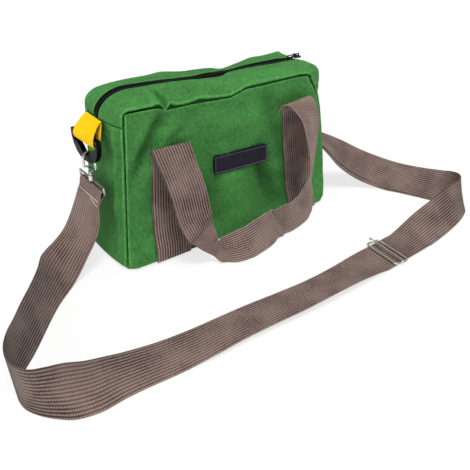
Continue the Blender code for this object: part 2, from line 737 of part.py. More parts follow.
# The free strap's route, chosen by hand from where it lies: along the bag in shares of its length, then
# beyond that in webbing widths, to the back in webbing widths, lifted in shares of the loop bar's height, the
# turn of its width about the upright and its lean from flat, in shares of a right angle, and its layers.
strap_route_shares = [
    (-0.5, -0.62, -0.010, 0.60, 1.21, 0.02, 1.0),
    (-0.5, -0.84, -0.068, 0.41, 1.27, 0.04, 1.0),
    (-0.5, -1.11, -0.152, 0.26, 1.31, 0.11, 1.0),
    (-0.5, -1.38, -0.290, 0.12, 1.37, 0.26, 1.0),
    (-0.5, -1.62, -0.510, 0.02, 1.41, 0.47, 1.0),
    (-0.5, -1.82, -0.800, 0.0, 1.42, 0.64, 1.0),
    (-0.5, -2.03, -1.114, 0.0, 1.43, 0.76, 1.0),
    (-0.5, -2.26, -1.434, 0.0, 1.42, 0.81, 1.0),
    (-0.5, -2.50, -1.758, 0.0, 1.41, 0.83, 1.0),
    (-0.5, -2.74, -2.080, 0.0, 1.40, 0.84, 1.0),
    (-0.5, -2.97, -2.394, 0.0, 1.38, 0.87, 1.0),
    (-0.5, -3.21, -2.692, 0.0, 1.30, 0.90, 1.0),
    (-0.5, -3.38, -2.990, 0.0, 1.15, 0.93, 1.0),
    (-0.5, -3.45, -3.300, 0.0, 0.98, 0.95, 1.0),
    (-0.5, -3.41, -3.600, 0.0, 0.86, 0.94, 1.0),
    (-0.5, -3.25, -3.840, 0.0, 0.80, 0.90, 1.0),
    (-0.5, -3.02, -3.990, 0.0, 0.82, 0.78, 1.0),
    (-0.5, -2.72, -4.060, 0.0, 0.87, 0.55, 1.0),
    (-0.5, -2.32, -4.050, 0.0, 0.93, 0.30, 1.0),
    (-0.5, -1.86, -3.990, 0.0, 0.98, 0.14, 1.0),
    (-0.5, -1.42, -4.000, 0.0, 1.0, 0.06, 1.0),
    (-0.5, -0.74, -4.054, 0.0, 1.0, 0.0, 1.0),
    (-0.5, 0.0, -4.134, 0.0, 1.0, -0.06, 1.0),
    (-0.385, 0.0, -4.160, 0.0, 1.0, -0.09, 1.0),
    (-0.254, 0.0, -4.200, 0.0, 1.0, -0.10, 1.0),
    (-0.120, 0.0, -4.270, 0.0, 1.0, -0.12, 1.0),
    (0.021, 0.0, -4.320, 0.0, 1.0, -0.15, 1.0),
    (0.164, 0.0, -4.310, 0.0, 1.0, -0.13, 1.0),
    (0.290, 0.0, -4.260, 0.0, 1.0, -0.05, 1.0),
    (0.360, 0.0, -4.240, 0.0, 0.97, 0.0, 1.0),
    (0.440, 0.0, -4.224, 0.0, 0.94, 0.0, 1.0),
    (0.5, 0.16, -4.200, 0.0, 0.95, 0.0, 1.0),
    (0.5, 0.50, -4.185, 0.0, 1.0, 0.0, 1.0),
    (0.5, 0.90, -4.178, 0.0, 1.02, 0.08, 2.3),
    (0.5, 1.43, -4.160, 0.0, 1.07, 0.22, 2.3),
    (0.5, 2.07, -4.104, 0.0, 1.12, 0.33, 2.3),
    (0.5, 2.71, -4.036, 0.0, 1.19, 0.48, 2.3),
    (0.5, 3.27, -3.960, 0.0, 1.28, 0.68, 2.3),
    (0.5, 3.46, -3.870, 0.0, 1.20, 0.80, 2.3),
    (0.5, 3.54, -3.720, 0.0, 0.91, 0.86, 2.3),
    (0.5, 3.55, -3.530, 0.0, 0.50, 0.76, 2.3),
    (0.5, 3.53, -3.290, 0.0, 0.26, 0.64, 2.3),
    (0.5, 3.50, -3.010, 0.0, 0.22, 0.52, 2.3),
    (0.5, 3.33, -2.392, 0.0, 0.24, 0.41, 2.3),
    (0.5, 3.07, -1.774, 0.0, 0.29, 0.39, 2.3),
    (0.5, 2.70, -1.228, 0.07, 0.33, 0.37, 2.3),
    (0.5, 2.21, -0.800, 0.21, 0.41, 0.34, 2.3),
    (0.5, 1.64, -0.478, 0.42, 0.52, 0.29, 2.3),
    (0.5, 1.10, -0.250, 0.65, 0.68, 0.17, 2.0),
]

adjuster_place_shares = (0.440, -4.224, 0.94)


def strap_places():
    """The strap's two edges at each place of its route; where it lies down its lower edge meets the floor."""
    pairs = []
    for along, beyond, back, lift, turn, lean, layers in strap_route_shares:
        azimuth, elevation = turn * math.pi / 2, lean * math.pi / 2
        across = np.array((math.cos(elevation) * math.cos(azimuth), math.cos(elevation) * math.sin(azimuth),
                           math.sin(elevation))) * web_width / 2
        stand = abs(across[2]) + layers * web / 2 * math.cos(elevation) + fit_gap
        up = stand + lift * loop_bar_level
        centre = np.array((along * bag_length + beyond * web_width, back * web_width, up))
        pairs.append((centre + across, centre - across))
    return pairs


def strap_fold(end, toward):
    """The webbing's turn over a loop's lower bar: from its sewn tail on the bag's side to the free run."""
    bar = end_point(end, ring_out, 0, loop_bar_level)
    across = end_point(end, ring_out, web_width / 2, loop_bar_level) - bar
    along = across / np.linalg.norm(across)
    run = toward - bar
    run = run - along * (run @ along)
    run = run / np.linalg.norm(run)
    out = np.cross(along, run)
    out = out * (1 if out[0] * end > 0 else -1)
    near, far = (web + fit_gap) / 2, loop_wire + 2 * fit_gap + web / 2
    line = [(-near, fold_tail), (-near, fold_tail * fold_close_share), (-far, web)]
    line += [(-far * math.cos(a), -far * math.sin(a)) for a in steps(math.pi / 8, math.pi * 7 / 8, 5)]
    line += [(far, web), (near, fold_tail * fold_close_share), (near, fold_tail)]
    return [(bar + out * side + run * down + across, bar + out * side + run * down - across)
            for side, down in line]


def strap():
    """The shoulder strap, from its tail in the left loop to its turn in the right one."""
    pairs = strap_places()
    layers = [place[-1] for place in strap_route_shares]
    left = strap_fold(-1, (pairs[0][0] + pairs[0][1]) / 2)
    right = strap_fold(1, (pairs[-1][0] + pairs[-1][1]) / 2)
    pairs = left + pairs + right[::-1]
    layers = [1.0] * len(left) + layers + [1.0] * len(right)
    ribbon("shoulder_strap", pairs, [web * layer for layer in layers], taupe, per_span=2)


def adjuster():
    """Wire slider that lies on the strap, and its loose bar whose ends stick out past the frame."""
    along, back, turn = adjuster_place_shares
    centre = np.array((along * bag_length, back * web_width, 0))
    azimuth = turn * math.pi / 2
    across = np.array((math.cos(azimuth), math.sin(azimuth), 0))
    forward = np.array((math.sin(azimuth), -math.cos(azimuth), 0))
    level = fit_gap + web + fit_gap + adjuster_wire
    half_long, half_wide = adjuster_length / 2, web_width / 2 + fit_gap + adjuster_wire
    reach_long, reach_wide = half_long - adjuster_corner, half_wide - adjuster_corner
    outline = []
    for long, wide, start in ((reach_long, reach_wide, 0), (-reach_long, reach_wide, math.pi / 2),
                              (-reach_long, -reach_wide, math.pi), (reach_long, -reach_wide, 3 * math.pi / 2)):
        outline += arc((long, wide), adjuster_corner, start, start + math.pi / 2, 4)
    lift = np.array((0, 0, level))
    points = [centre + forward * a + across * b + lift for a, b in outline]
    tube("strap_adjuster", points, adjuster_wire, steel, closed=True, origin=centre)
    lift[2] += adjuster_wire + fit_gap + adjuster_bar_wire
    reach = half_wide + adjuster_wire + fit_gap + knob_length / 2
    bar = tube("adjuster_bar", [centre + across * b + lift for b in (-reach, reach)], adjuster_bar_wire, steel,
               origin=centre)
    for side in (-1, 1):
        knob = tube("knob", [centre + across * side * b + lift for b in (reach - knob_length / 2,
                                                                         reach + knob_length / 2)],
                    adjuster_knob, steel)
        join(bar, knob)


def clear_scene():
    """Start from an empty scene."""
    for item in list(bpy.data.objects):
        bpy.data.objects.remove(item, do_unlink=True)


clear_scene()
canvas_shell()
flaps()
top_ends()
zip_line()
strips_and_plate()
handles()
end_hardware()
strap()
adjuster()
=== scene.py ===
# %% [markdown]
# # A canvas tool bag, dressed over its solids
# The bag is an empty canvas bag with a zip along its top, two webbing handles, and a long webbing strap
# that clips to a moulded ring at each end. The solids already say where everything is and what moves.
# This lesson puts the cloth, the webbing, the threads and the metal on them. Sizes are metres, +X runs
# along the zip, +Y goes to the back and the floor is at zero.

# %% Load the solids
import json
import math

import bpy
import numpy as np
from mathutils import Matrix, Vector

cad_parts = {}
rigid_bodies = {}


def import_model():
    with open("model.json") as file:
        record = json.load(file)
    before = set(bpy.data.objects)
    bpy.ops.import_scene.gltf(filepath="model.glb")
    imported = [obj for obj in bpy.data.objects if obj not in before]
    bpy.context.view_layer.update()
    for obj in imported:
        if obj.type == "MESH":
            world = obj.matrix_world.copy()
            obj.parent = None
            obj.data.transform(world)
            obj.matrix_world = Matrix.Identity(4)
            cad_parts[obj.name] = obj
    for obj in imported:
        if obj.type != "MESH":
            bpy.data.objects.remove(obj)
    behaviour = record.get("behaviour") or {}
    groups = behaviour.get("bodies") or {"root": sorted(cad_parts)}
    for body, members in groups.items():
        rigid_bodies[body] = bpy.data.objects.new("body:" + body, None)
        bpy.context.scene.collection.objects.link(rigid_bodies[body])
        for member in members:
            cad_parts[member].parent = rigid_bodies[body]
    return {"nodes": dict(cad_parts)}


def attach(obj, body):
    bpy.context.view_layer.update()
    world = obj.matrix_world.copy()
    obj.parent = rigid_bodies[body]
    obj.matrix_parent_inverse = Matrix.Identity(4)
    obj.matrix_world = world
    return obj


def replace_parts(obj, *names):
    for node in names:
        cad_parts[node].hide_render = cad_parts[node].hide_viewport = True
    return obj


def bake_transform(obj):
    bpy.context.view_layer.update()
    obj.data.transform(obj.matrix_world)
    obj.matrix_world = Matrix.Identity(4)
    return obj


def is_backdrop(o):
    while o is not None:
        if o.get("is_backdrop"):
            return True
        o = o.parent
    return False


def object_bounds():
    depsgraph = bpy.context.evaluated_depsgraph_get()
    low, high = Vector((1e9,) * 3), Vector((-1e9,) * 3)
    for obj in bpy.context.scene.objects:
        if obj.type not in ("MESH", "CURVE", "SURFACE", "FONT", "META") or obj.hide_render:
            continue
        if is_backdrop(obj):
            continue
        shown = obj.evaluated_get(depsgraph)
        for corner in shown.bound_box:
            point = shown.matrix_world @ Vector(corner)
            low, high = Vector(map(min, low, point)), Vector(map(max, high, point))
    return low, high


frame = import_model()
solid_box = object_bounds()

# %% [markdown]
# ## The camera
# The photograph looks at the bag from its front left and from above. Its lens and its place were found
# from points that can be named both on the bag and in the picture. A camera looks along its own -Z, so
# its matrix has the right, up and backward directions as columns.

# %% Camera
lens = bpy.data.cameras.new("camera")
lens.sensor_width = 36
lens.lens = 38.47
lens.clip_start = 0.01
camera = bpy.data.objects.new("camera", lens)
right = Vector((0.7987, -0.6014, 0.0187))
up = Vector((0.3098, 0.4377, 0.8441))
ahead = Vector((0.5158, 0.6684, -0.5359))
turn = Matrix((right, up, -ahead)).transposed().to_4x4()
camera.matrix_world = Matrix.Translation((-0.3572, -0.5216, 0.3710)) @ turn
bpy.context.scene.collection.objects.link(camera)
bpy.context.scene.camera = camera
print("camera at", [round(v, 3) for v in camera.location])

# %% [markdown]
# ## The slumped shape
# An empty bag isn't a box: its corners lean and sink. The solids are drawn as a square box first, and every
# point is then moved by a blend of eight corner shifts, a trilinear blend. The top's middle is held firm,
# because the zip runs straight there. The same rule, worked out for whole arrays at once, lets the cloth be
# drawn on a square bag too, and slump with it.

# %% Sizes shared by the cloth
bag_length, bag_depth, seam_height = 0.305, 0.100, 0.198
half_length, half_depth = bag_length / 2, bag_depth / 2
canvas, fit_gap = 0.002, 0.0003
inner_depth = half_depth - canvas - fit_gap
zip_height, joint_height = seam_height + 0.008, seam_height - 0.018
web_width, web = 0.050, 0.0016
ends = ((-1, "left"), (1, "right"))
sides = ((-1, "front"), (1, "rear"))
quarters = [(end, side, f"{side_name}_{end_name}") for end, end_name in ends for side, side_name in sides]
corner_shifts = {
    (0, 0, 1): (0.040, -0.016, 0.006), (0, 0, 0): (-0.030, 0.011, 0.0),
    (1, 0, 1): (-0.082, 0.040, -0.021), (1, 0, 0): (0.045, -0.031, 0.0),
    (0, 1, 1): (0.032, -0.027, -0.028), (1, 1, 1): (0.024, -0.006, 0.030),
    (0, 1, 0): (-0.050, 0.033, 0.0), (1, 1, 0): (0.030, 0.030, 0.0),
}
print("half the bag is", half_length, "m long and", half_depth, "m deep")


# %% Eases and bells
def ease(value, start, end):
    """0 before start and 1 after end, with the even curve 3t^2 - 2t^3 between."""
    t = np.clip((np.asarray(value, float) - start) / (end - start), 0, 1)
    return t * t * (3 - 2 * t)


def bell(value, centre, width):
    """e to minus the square of the distance from the centre over the width: 1 at the centre."""
    return np.exp(-((value - centre) / width) ** 2)


print("an ease half way is", ease(0.5, 0, 1), "and a bell at its width is", round(float(bell(1, 0, 1)), 2))

# %% Bulges of the empty cloth
flare_levels = np.array([0.0, 0.012, 0.03, 0.06, 0.09, 0.12, 0.15, 0.165, 0.18, 0.19, 0.198])
flare_reach = np.array([0.002, 0.013, 0.017, 0.019, 0.019, 0.018, 0.015, 0.011, 0.003, -0.005, -0.008])
flare_start, flare_tab_side, flare_front_side = 0.116, 0.022, 0.046
puff_out, puff_start, puff_stop = 0.018, 0.132, 0.150
puff_across, puff_width = -0.037, 0.0085
puff_level, puff_height = 0.195, 0.021
foot_height = 0.060
end_foot_out, end_foot_start = 0.0045, 0.130
front_foot_out, front_foot_start, front_foot_stop = 0.0080, 0.020, 0.050
foot_left, foot_right, foot_less = -0.140, 0.130, 0.4


def flare(points):
    """The right front corner is slack: it stands out along X by the flare's reach at that height, and is
    drawn in at its top, faded toward the left and toward the tab. Behind it, the end canvas puffs out near
    its top. At the left end the foot of the canvas bulges out a little."""
    x, y, z = np.moveaxis(points, -1, 0)
    corner = ease(x, flare_start, half_length) * ease(-y, flare_tab_side, flare_front_side)
    puff = bell(y, puff_across, puff_width) * bell(z, puff_level, puff_height)
    puff *= ease(x, puff_start, puff_stop)
    middle = 1 - np.clip(np.abs(y) / half_depth, 0, 1) ** 2
    foot = middle * ease(-x, end_foot_start, half_length) * (1 - ease(z, 0.0, foot_height))
    return np.interp(z, flare_levels, flare_reach) * corner + puff_out * puff - end_foot_out * foot


def front_foot(points):
    """Along the foot of the front the canvas bulges out over the base, from just right of the left seam on,
    and less at the right end."""
    x, y, z = np.moveaxis(points, -1, 0)
    low = (1 - ease(z, 0.0, foot_height)) * ease(-y, front_foot_start, front_foot_stop)
    low *= ease(x, -half_length, foot_left) * (1 - foot_less * ease(x, foot_right, half_length))
    return -front_foot_out * low


print("the right corner stands out by up to", flare_reach.max(), "m, and the foot by", front_foot_out, "m")


# %% Slump
def slump(points):
    """Each point moves by the sum of the corner shifts, each weighted by how near that corner is along
    all three sides. Near the zip the move fades: 1 less the square of the distance from the middle,
    times an ease over the upper half of the height. The bulges come last."""
    points = np.asarray(points, float)
    share = points / (bag_length, bag_depth, seam_height) + (0.5, 0.5, 0)
    moved = np.zeros_like(points)
    for corner, shift in corner_shifts.items():
        weight = np.prod(np.where(corner, share, 1 - share), axis=-1)
        moved += weight[..., None] * np.array(shift) * seam_height
    middle = 1 - np.minimum(np.abs(2 * points[..., 1] / bag_depth), 1) ** 2
    held = middle * ease(share[..., 2], 0.5, 0.9)
    slumped = points + moved * (1 - held)[..., None]
    slumped[..., 0] += flare(points)
    slumped[..., 1] += front_foot(points)
    return slumped


print("front left top corner slumps to", slump([-half_length, -half_depth, seam_height]).round(4))

# %% [markdown]
# ## From a grid to a mesh
# Nearly every piece here is a sheet: a grid of points with rows and columns. Four neighbouring points make
# a face. The grid's own two measures, in metres along the cloth, become its UV map, so that a weave has
# the same size everywhere and bends with the cloth. A round piece is a grid whose last column meets its
# first.

# %% Grid helper
def finish_mesh(name, points, faces, measures, material, body, smooth=True, worn=None):
    """Points go in as one array and faces as rows of point numbers. Each corner of a face takes the two
    measures of its point. Painted light is a number for each point: 1 for a painted highlight on a lip or
    crest, -1 for painted shade in the depth of a fold."""
    mesh = bpy.data.meshes.new(name)
    mesh.from_pydata(points.tolist(), [], faces)
    layer = mesh.uv_layers.new(name="cloth")
    index = np.empty(len(mesh.loops), int)
    mesh.loops.foreach_get("vertex_index", index)
    layer.data.foreach_set("uv", np.asarray(measures, float)[index].ravel())
    if worn is not None:
        values = mesh.attributes.new("worn", "FLOAT", "POINT").data
        values.foreach_set("value", np.asarray(worn, float).ravel())
    mesh.materials.append(material)
    if smooth:
        mesh.shade_smooth()
    piece = bpy.data.objects.new(name, mesh)
    bpy.context.scene.collection.objects.link(piece)
    if body:
        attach(piece, body)
    return piece


def grid_faces(rows, columns, around=False):
    """Face r, c joins points (r, c), (r, c+1), (r+1, c+1) and (r+1, c). Around closes the columns."""
    r, c = np.meshgrid(np.arange(rows - 1), np.arange(columns if around else columns - 1), indexing="ij")
    here, above, beside = r * columns, (r + 1) * columns, (c + 1) % columns
    return np.stack([here + c, here + beside, above + beside, above + c], -1).reshape(-1, 4)


def sheet(name, grid, measures, material, body, outward, thickness=0.0014, worn=None):
    """A grid as cloth. Its faces are turned so that their summed normal points outward, and Solidify
    gives the cloth its thickness on the inner side."""
    faces = grid_faces(*grid.shape[:2])
    across = grid[1:, :-1] - grid[:-1, :-1]
    along = grid[:-1, 1:] - grid[:-1, :-1]
    if np.sum(np.cross(along, across) * outward) < 0:
        faces = faces[:, ::-1]
    points, measures = grid.reshape(-1, 3), measures.reshape(-1, 2)
    piece = finish_mesh(name, points, faces.tolist(), measures, material, body, worn=worn)
    solid = piece.modifiers.new("cloth thickness", "SOLIDIFY")
    solid.thickness = thickness
    solid.offset = -1
    return piece


print("a grid of 3 by 4 points has", len(grid_faces(3, 4)), "faces")

# %% [markdown]
# ## Canvas
# The body is green cotton canvas: a plain weave of round yarns, a little hairy, so it is matt with a soft
# sheen at glancing angles. The weave is two sets of waves across each other. Finer and broader noise make
# the yarns uneven and the dye a little patchy, which is what stops it from looking like painted metal.

# %% Nodes and their inputs
def new_material(name):
    """An empty Principled material and its parts."""
    material = bpy.data.materials.new(name)
    material.use_nodes = True
    tree = material.node_tree
    return material, tree, tree.nodes["Principled BSDF"]


def connect(tree, made, inputs):
    """Each of a node's inputs is either joined to another node's output or set to a value."""
    for key, value in dict(inputs).items():
        if isinstance(value, bpy.types.NodeSocket):
            tree.links.new(value, made.inputs[key])
        else:
            made.inputs[key].default_value = value


def node(tree, kind, inputs=(), **settings):
    """One node, with its settings and its inputs."""
    made = tree.nodes.new(kind)
    for key, value in settings.items():
        setattr(made, key, value)
    connect(tree, made, inputs)
    return made


def math_node(tree, operation, first, second):
    """One operation on two numbers."""
    return node(tree, "ShaderNodeMath", {0: first, 1: second}, operation=operation).outputs[0]


def product(tree, first, second):
    """The product of two numbers."""
    return math_node(tree, "MULTIPLY", first, second)


def total(tree, first, second):
    """The sum of two numbers."""
    return math_node(tree, "ADD", first, second)


print("node helpers:", ", ".join(helper.__name__ for helper in (new_material, connect, node, product, total)))

# %% Colours, noise and waves
wave_length = 2 * math.pi / 20


def mix_colour(tree, amount, first, second):
    """A blend of two colours by an amount between 0 and 1."""
    colours = [value if isinstance(value, bpy.types.NodeSocket) else (*value, 1) for value in (first, second)]
    return node(tree, "ShaderNodeMix", {0: amount, 6: colours[0], 7: colours[1]}, data_type="RGBA").outputs[2]


def spread(tree, value, low, high, least=0.0, most=1.0):
    """Stretches the values between low and high over the range from least to most."""
    limits = {"Value": value, "From Min": low, "From Max": high, "To Min": least, "To Max": most}
    return node(tree, "ShaderNodeMapRange", limits).outputs[0]


def noise(tree, vector, scale, detail, roughness=0.5):
    """Cloudy noise from 0 to 1, with scale clouds to the metre."""
    inputs = {"Vector": vector, "Scale": scale, "Detail": detail, "Roughness": roughness}
    return node(tree, "ShaderNodeTexNoise", inputs).outputs["Fac"]


def bump(tree, height, strength, distance):
    """The surface's direction, tilted by the slope of a height of that many metres."""
    inputs = {"Height": height, "Strength": strength, "Distance": distance}
    return node(tree, "ShaderNodeBump", inputs).outputs[0]


def waves(tree, uv, pitch, direction, **inputs):
    """Even ridges across one measure of the cloth. Blender's wave repeats every 2 pi / 20 over its scale."""
    inputs = {key.replace("_", " ").title(): value for key, value in inputs.items()}
    inputs = {"Vector": uv, "Scale": wave_length / pitch, **inputs}
    made = node(tree, "ShaderNodeTexWave", inputs, wave_type="BANDS", bands_direction=direction)
    return made.outputs["Fac"]


def cloth_places(tree):
    """The cloth's own two measures, and the place in the object."""
    uv = node(tree, "ShaderNodeUVMap", uv_map="cloth").outputs[0]
    return uv, node(tree, "ShaderNodeTexCoord").outputs["Object"]


def yarn_waves(tree, uv, pitch, direction):
    """Ridges of one set of yarns, a little uneven."""
    return waves(tree, uv, pitch, direction, distortion=0.6, detail=1.0, detail_scale=0.4)


print("a wave that repeats every millimetre has the scale", round(wave_length / 0.001, 1))


# %% Canvas material
def canvas_cloth(name, dark, mid, light):
    """Colour goes from dark to light with a slow noise, rows of uneven yarn and a quick speck. Then the
    piece's painted light gives a painted highlight on lips and crests, broken up by the speck, and painted
    shade in the depth of its folds. Bump is both sets of yarns and the uneven rows and columns."""
    material, tree, shader = new_material(name)
    uv, place = cloth_places(tree)
    pitch = 0.00085
    weave = total(tree, yarn_waves(tree, uv, pitch, "X"), yarn_waves(tree, uv, pitch * 0.94, "Y"))

    def stretched(along, across, low):
        mapped = node(tree, "ShaderNodeMapping", {"Vector": uv, "Scale": (along, across, 1.0)}).outputs[0]
        return spread(tree, noise(tree, mapped, 1.0, 2.0, 0.7), low, 0.64)

    patchy = spread(tree, noise(tree, place, 24.0, 3.0, 0.6), 0.34, 0.68)
    speck = spread(tree, noise(tree, place, 520.0, 2.0, 0.8), 0.34, 0.66)
    grain = spread(tree, noise(tree, place, 260.0, 2.0, 0.7), 0.36, 0.64)
    rows, columns = stretched(110.0, 620.0, 0.36), stretched(560.0, 120.0, 0.38)
    base = mix_colour(tree, patchy, mid, tuple((a + b) / 2 for a, b in zip(mid, light)))
    patterns = ((rows, 0.50, light), (columns, 0.50, dark), (speck, 0.50, dark), (grain, 0.30, light))
    for pattern, amount, colour in patterns:
        base = mix_colour(tree, product(tree, pattern, amount), base, colour)
    # Painted light from the piece: lips and crests lighten as a painted highlight, broken up by the speck,
    # and slits and hollows darken as painted shade.
    worn = node(tree, "ShaderNodeAttribute", attribute_name="worn").outputs["Fac"]
    highlight_amount = product(tree, spread(tree, worn, 0.0, 1.0), spread(tree, speck, 1.2, -0.4))
    base = mix_colour(tree, product(tree, highlight_amount, 0.55), base, tuple(min(c * 1.9, 1) for c in light))
    folded = spread(tree, product(tree, worn, -1.0), 0.0, 1.0, most=0.9)
    base = mix_colour(tree, folded, base, tuple(c * 0.5 for c in dark))
    height = total(tree, product(tree, weave, 0.5), total(tree, rows, columns))
    connect(tree, shader, {"Base Color": base, "Normal": bump(tree, height, 0.7, 0.00035), "Roughness": 0.88,
                           "Specular IOR Level": 0.2, "Sheen Weight": 0.06, "Sheen Roughness": 0.5,
                           "Sheen Tint": (*light, 1)})
    return material


green_canvas = canvas_cloth("green canvas", (0.009, 0.066, 0.015),
                            (0.041, 0.220, 0.047), (0.117, 0.402, 0.094))
# The lining copies the green canvas at about a third of its brightness: painted shade for the inside of the
# bag and its seam strips.
shaded_lining_canvas = canvas_cloth("lining canvas", (0.004, 0.028, 0.006),
                             (0.014, 0.080, 0.017), (0.035, 0.130, 0.030))
print("canvas materials:", green_canvas.name, "and", shaded_lining_canvas.name)

# %% [markdown]
# ## Rolled edges and creases
# Each panel is sewn to its neighbour inside out, so at every seam both edges roll over and go down side by
# side into a narrow slit. That dark line between two soft lips is what says "sewn bag" in the photograph.
# Measured along the cloth from its raw edge, a panel first rises out of the slit along a wall at 45
# degrees, then turns through three eighths of a circle, and then runs flat. Creases are ridges with the
# shape of a bell curve along a short line, and the slack of empty cloth is a sum of a few slow waves.

# %% Seam fold
lip, slit, wall = 0.0017, 0.0008, 0.0019
lip_centre = lip * (1 + math.sqrt(2)) + slit / math.sqrt(2)
lip_turn = 3 * math.pi / 4
lip_length = lip * lip_turn
past_lip, fold_gap = 0.0009, 0.001


def seam_fold(s):
    """For cloth length s from the raw edge: how far in from the corner the cloth is, and how deep. On the
    wall both grow by s / root 2; on the lip they follow the sine and the versed sine of the turn."""
    s = np.asarray(s, float)
    rest = np.maximum(wall - s, 0) / math.sqrt(2)
    turned = lip_turn - np.clip((s - wall) / lip, 0, lip_turn)
    past = np.maximum(s - wall - lip_length, 0)
    return lip_centre - lip * np.sin(turned) + rest + past, lip * (1 - np.cos(turned)) + rest


def seam_places(low, high, step=0.0025, folded=(True, True)):
    """Places between two corners and how deep each lies: close together in the folds, even in between.
    An unfolded side keeps its plain edge."""
    s = np.concatenate([np.linspace(0, wall, 4), wall + lip_length * np.linspace(0.1, 1, 10),
                        [wall + lip_length + past_lip]])
    inward, deep = seam_fold(s)
    plain = (np.array([0.0, 0.0005, 0.001, 0.002]), np.zeros(4))
    first, second = ((inward, deep) if fold else plain for fold in folded)
    start, stop = low + first[0][-1] + fold_gap, high - second[0][-1] - fold_gap
    middle = np.linspace(start, stop, max(int((stop - start) / step), 3))
    places = np.concatenate([low + first[0], middle, high - second[0][::-1]])
    depths = np.concatenate([first[1], 0 * middle, second[1][::-1]])
    return places, depths


print("a lip turns", round(lip_centre * 1000, 1), "mm in from the corner")

# %% Painted highlight and shade on lips, and round corners
# Painted highlight on a lip's crest: place, width, share on the second edge and strength. Then painted shade
# down the slit, and painted shade in hollows and highlight on crests by how far the cloth stands out.
crest_place, crest_width, second_crest, crest_highlight = 0.0034, 0.0012, 0.3, 0.9
slit_start, slit_stop = 0.0008, 0.0026
stand_full, stand_most, stand_shade_and_highlight = 0.005, 0.6, 0.5


def lip_highlight_and_shade(inward_a, inward_b, deep, stand):
    """Painted highlight, highest on the crest of a lip, a bell curve on the distance from the corner, and
    painted shade of -1 down in the slit. Between seams it is a share of how far the cloth stands out, so that
    hollows get painted shade and crests a painted highlight."""
    crest_a, crest_b = bell(inward_a, crest_place, crest_width), bell(inward_b, crest_place, crest_width)
    crest = np.maximum(crest_a, second_crest * crest_b)
    open_cloth = stand_shade_and_highlight * np.clip(stand / stand_full, -1, stand_most) * (1 - crest)
    return np.where(deep > slit_start, -ease(deep, slit_start, slit_stop), crest * crest_highlight + open_cloth)


def two_deep(a, b):
    """The depth where two folds cross: the cube root of the sum of their cubes, a soft maximum."""
    return np.cbrt(a ** 3 + b ** 3)


def round_corner(a, b, corner_a, corner_b, radius):
    """Draws the square of that radius at one corner into a quarter disc: a point's distance from
    the disc's centre becomes the larger of its two offsets instead of their hypotenuse."""
    sa, sb = (1 if corner_a > 0 else -1), (1 if corner_b > 0 else -1)
    centre_a, centre_b = corner_a - sa * radius, corner_b - sb * radius
    da, db = (a - centre_a) * sa, (b - centre_b) * sb
    inside = (da > 0) & (db > 0)
    share = np.where(inside, np.maximum(da, db) / np.maximum(np.hypot(da, db), 1e-9), 1)
    return np.where(inside, centre_a + sa * da * share, a), np.where(inside, centre_b + sb * db * share, b)


print("two folds that are 1 deep cross", round(float(two_deep(1, 1)), 2), "deep")


# %% Creases and slack
def roll(distance, reach, depth):
    """Quarter circle: depth times 1 less the root of 1 - (1 - d/reach)^2, for d less than reach."""
    t = 1 - np.clip(distance / reach, 0, 1)
    return depth * (1 - np.sqrt(np.maximum(1 - t * t, 0)))


def ridge(a, b, start, end, width, height, fade=0.25):
    """A bell curve across the line from start to end, that fades over a share of its length at each end."""
    start, end = np.array(start, float), np.array(end, float)
    run = end - start
    length = np.linalg.norm(run)
    run = run / length
    da, db = a - start[0], b - start[1]
    along = (da * run[0] + db * run[1]) / length
    off = np.abs(da * run[1] - db * run[0]) / width
    taper = ease(along, -fade, fade) * (1 - ease(along, 1 - fade, 1 + fade))
    return height * np.exp(-off ** 2) * taper


def creases(a, b, table):
    """The sum of the ridges in a table: each row is where one starts and ends, its width and its height."""
    return sum(ridge(a, b, *row) for row in table)


def slack(a, b, seed, size):
    """Six slow waves of 25 to 90 mm with fixed directions and phases."""
    chance = np.random.default_rng(seed)
    total_height = np.zeros_like(a)
    for _ in range(6):
        angle = chance.uniform(0, math.pi)
        length = chance.uniform(0.025, 0.09)
        phase = chance.uniform(0, 6.28)
        place = a * math.cos(angle) + b * math.sin(angle)
        total_height += np.sin(place * 2 * math.pi / length + phase)
    return total_height * size / 2.5


def line_of(places):
    """A smooth height along X through given places in millimetres: straight pieces, blurred by a bell curve
    over 12 half millimetres to each side."""
    xs, hs = np.array([p[0] for p in places]) / 1000, np.array([p[1] for p in places]) / 1000
    fine = np.linspace(-0.16, 0.16, 641)
    heights = np.interp(fine, xs, hs)
    blur = bell(np.arange(-12, 13), 0, 5.0)
    heights = np.convolve(np.pad(heights, 12, mode="edge"), blur / blur.sum(), mode="valid")
    return lambda x: np.interp(x, fine, heights)


print("half way along, a roll that is 1 deep at its edge is", roll(0.5, 1, 1).round(2), "deep")

# %% [markdown]
# ## Front, rear, ends and base
# The front shows how empty the bag is: a slack valley runs down from the dent in the top seam to the left
# handle, and the middle pushes out a little under the plate. Its top edge isn't straight either: it
# follows the slack of the top. The ends are narrow, so they buckle inward between their two long seams.

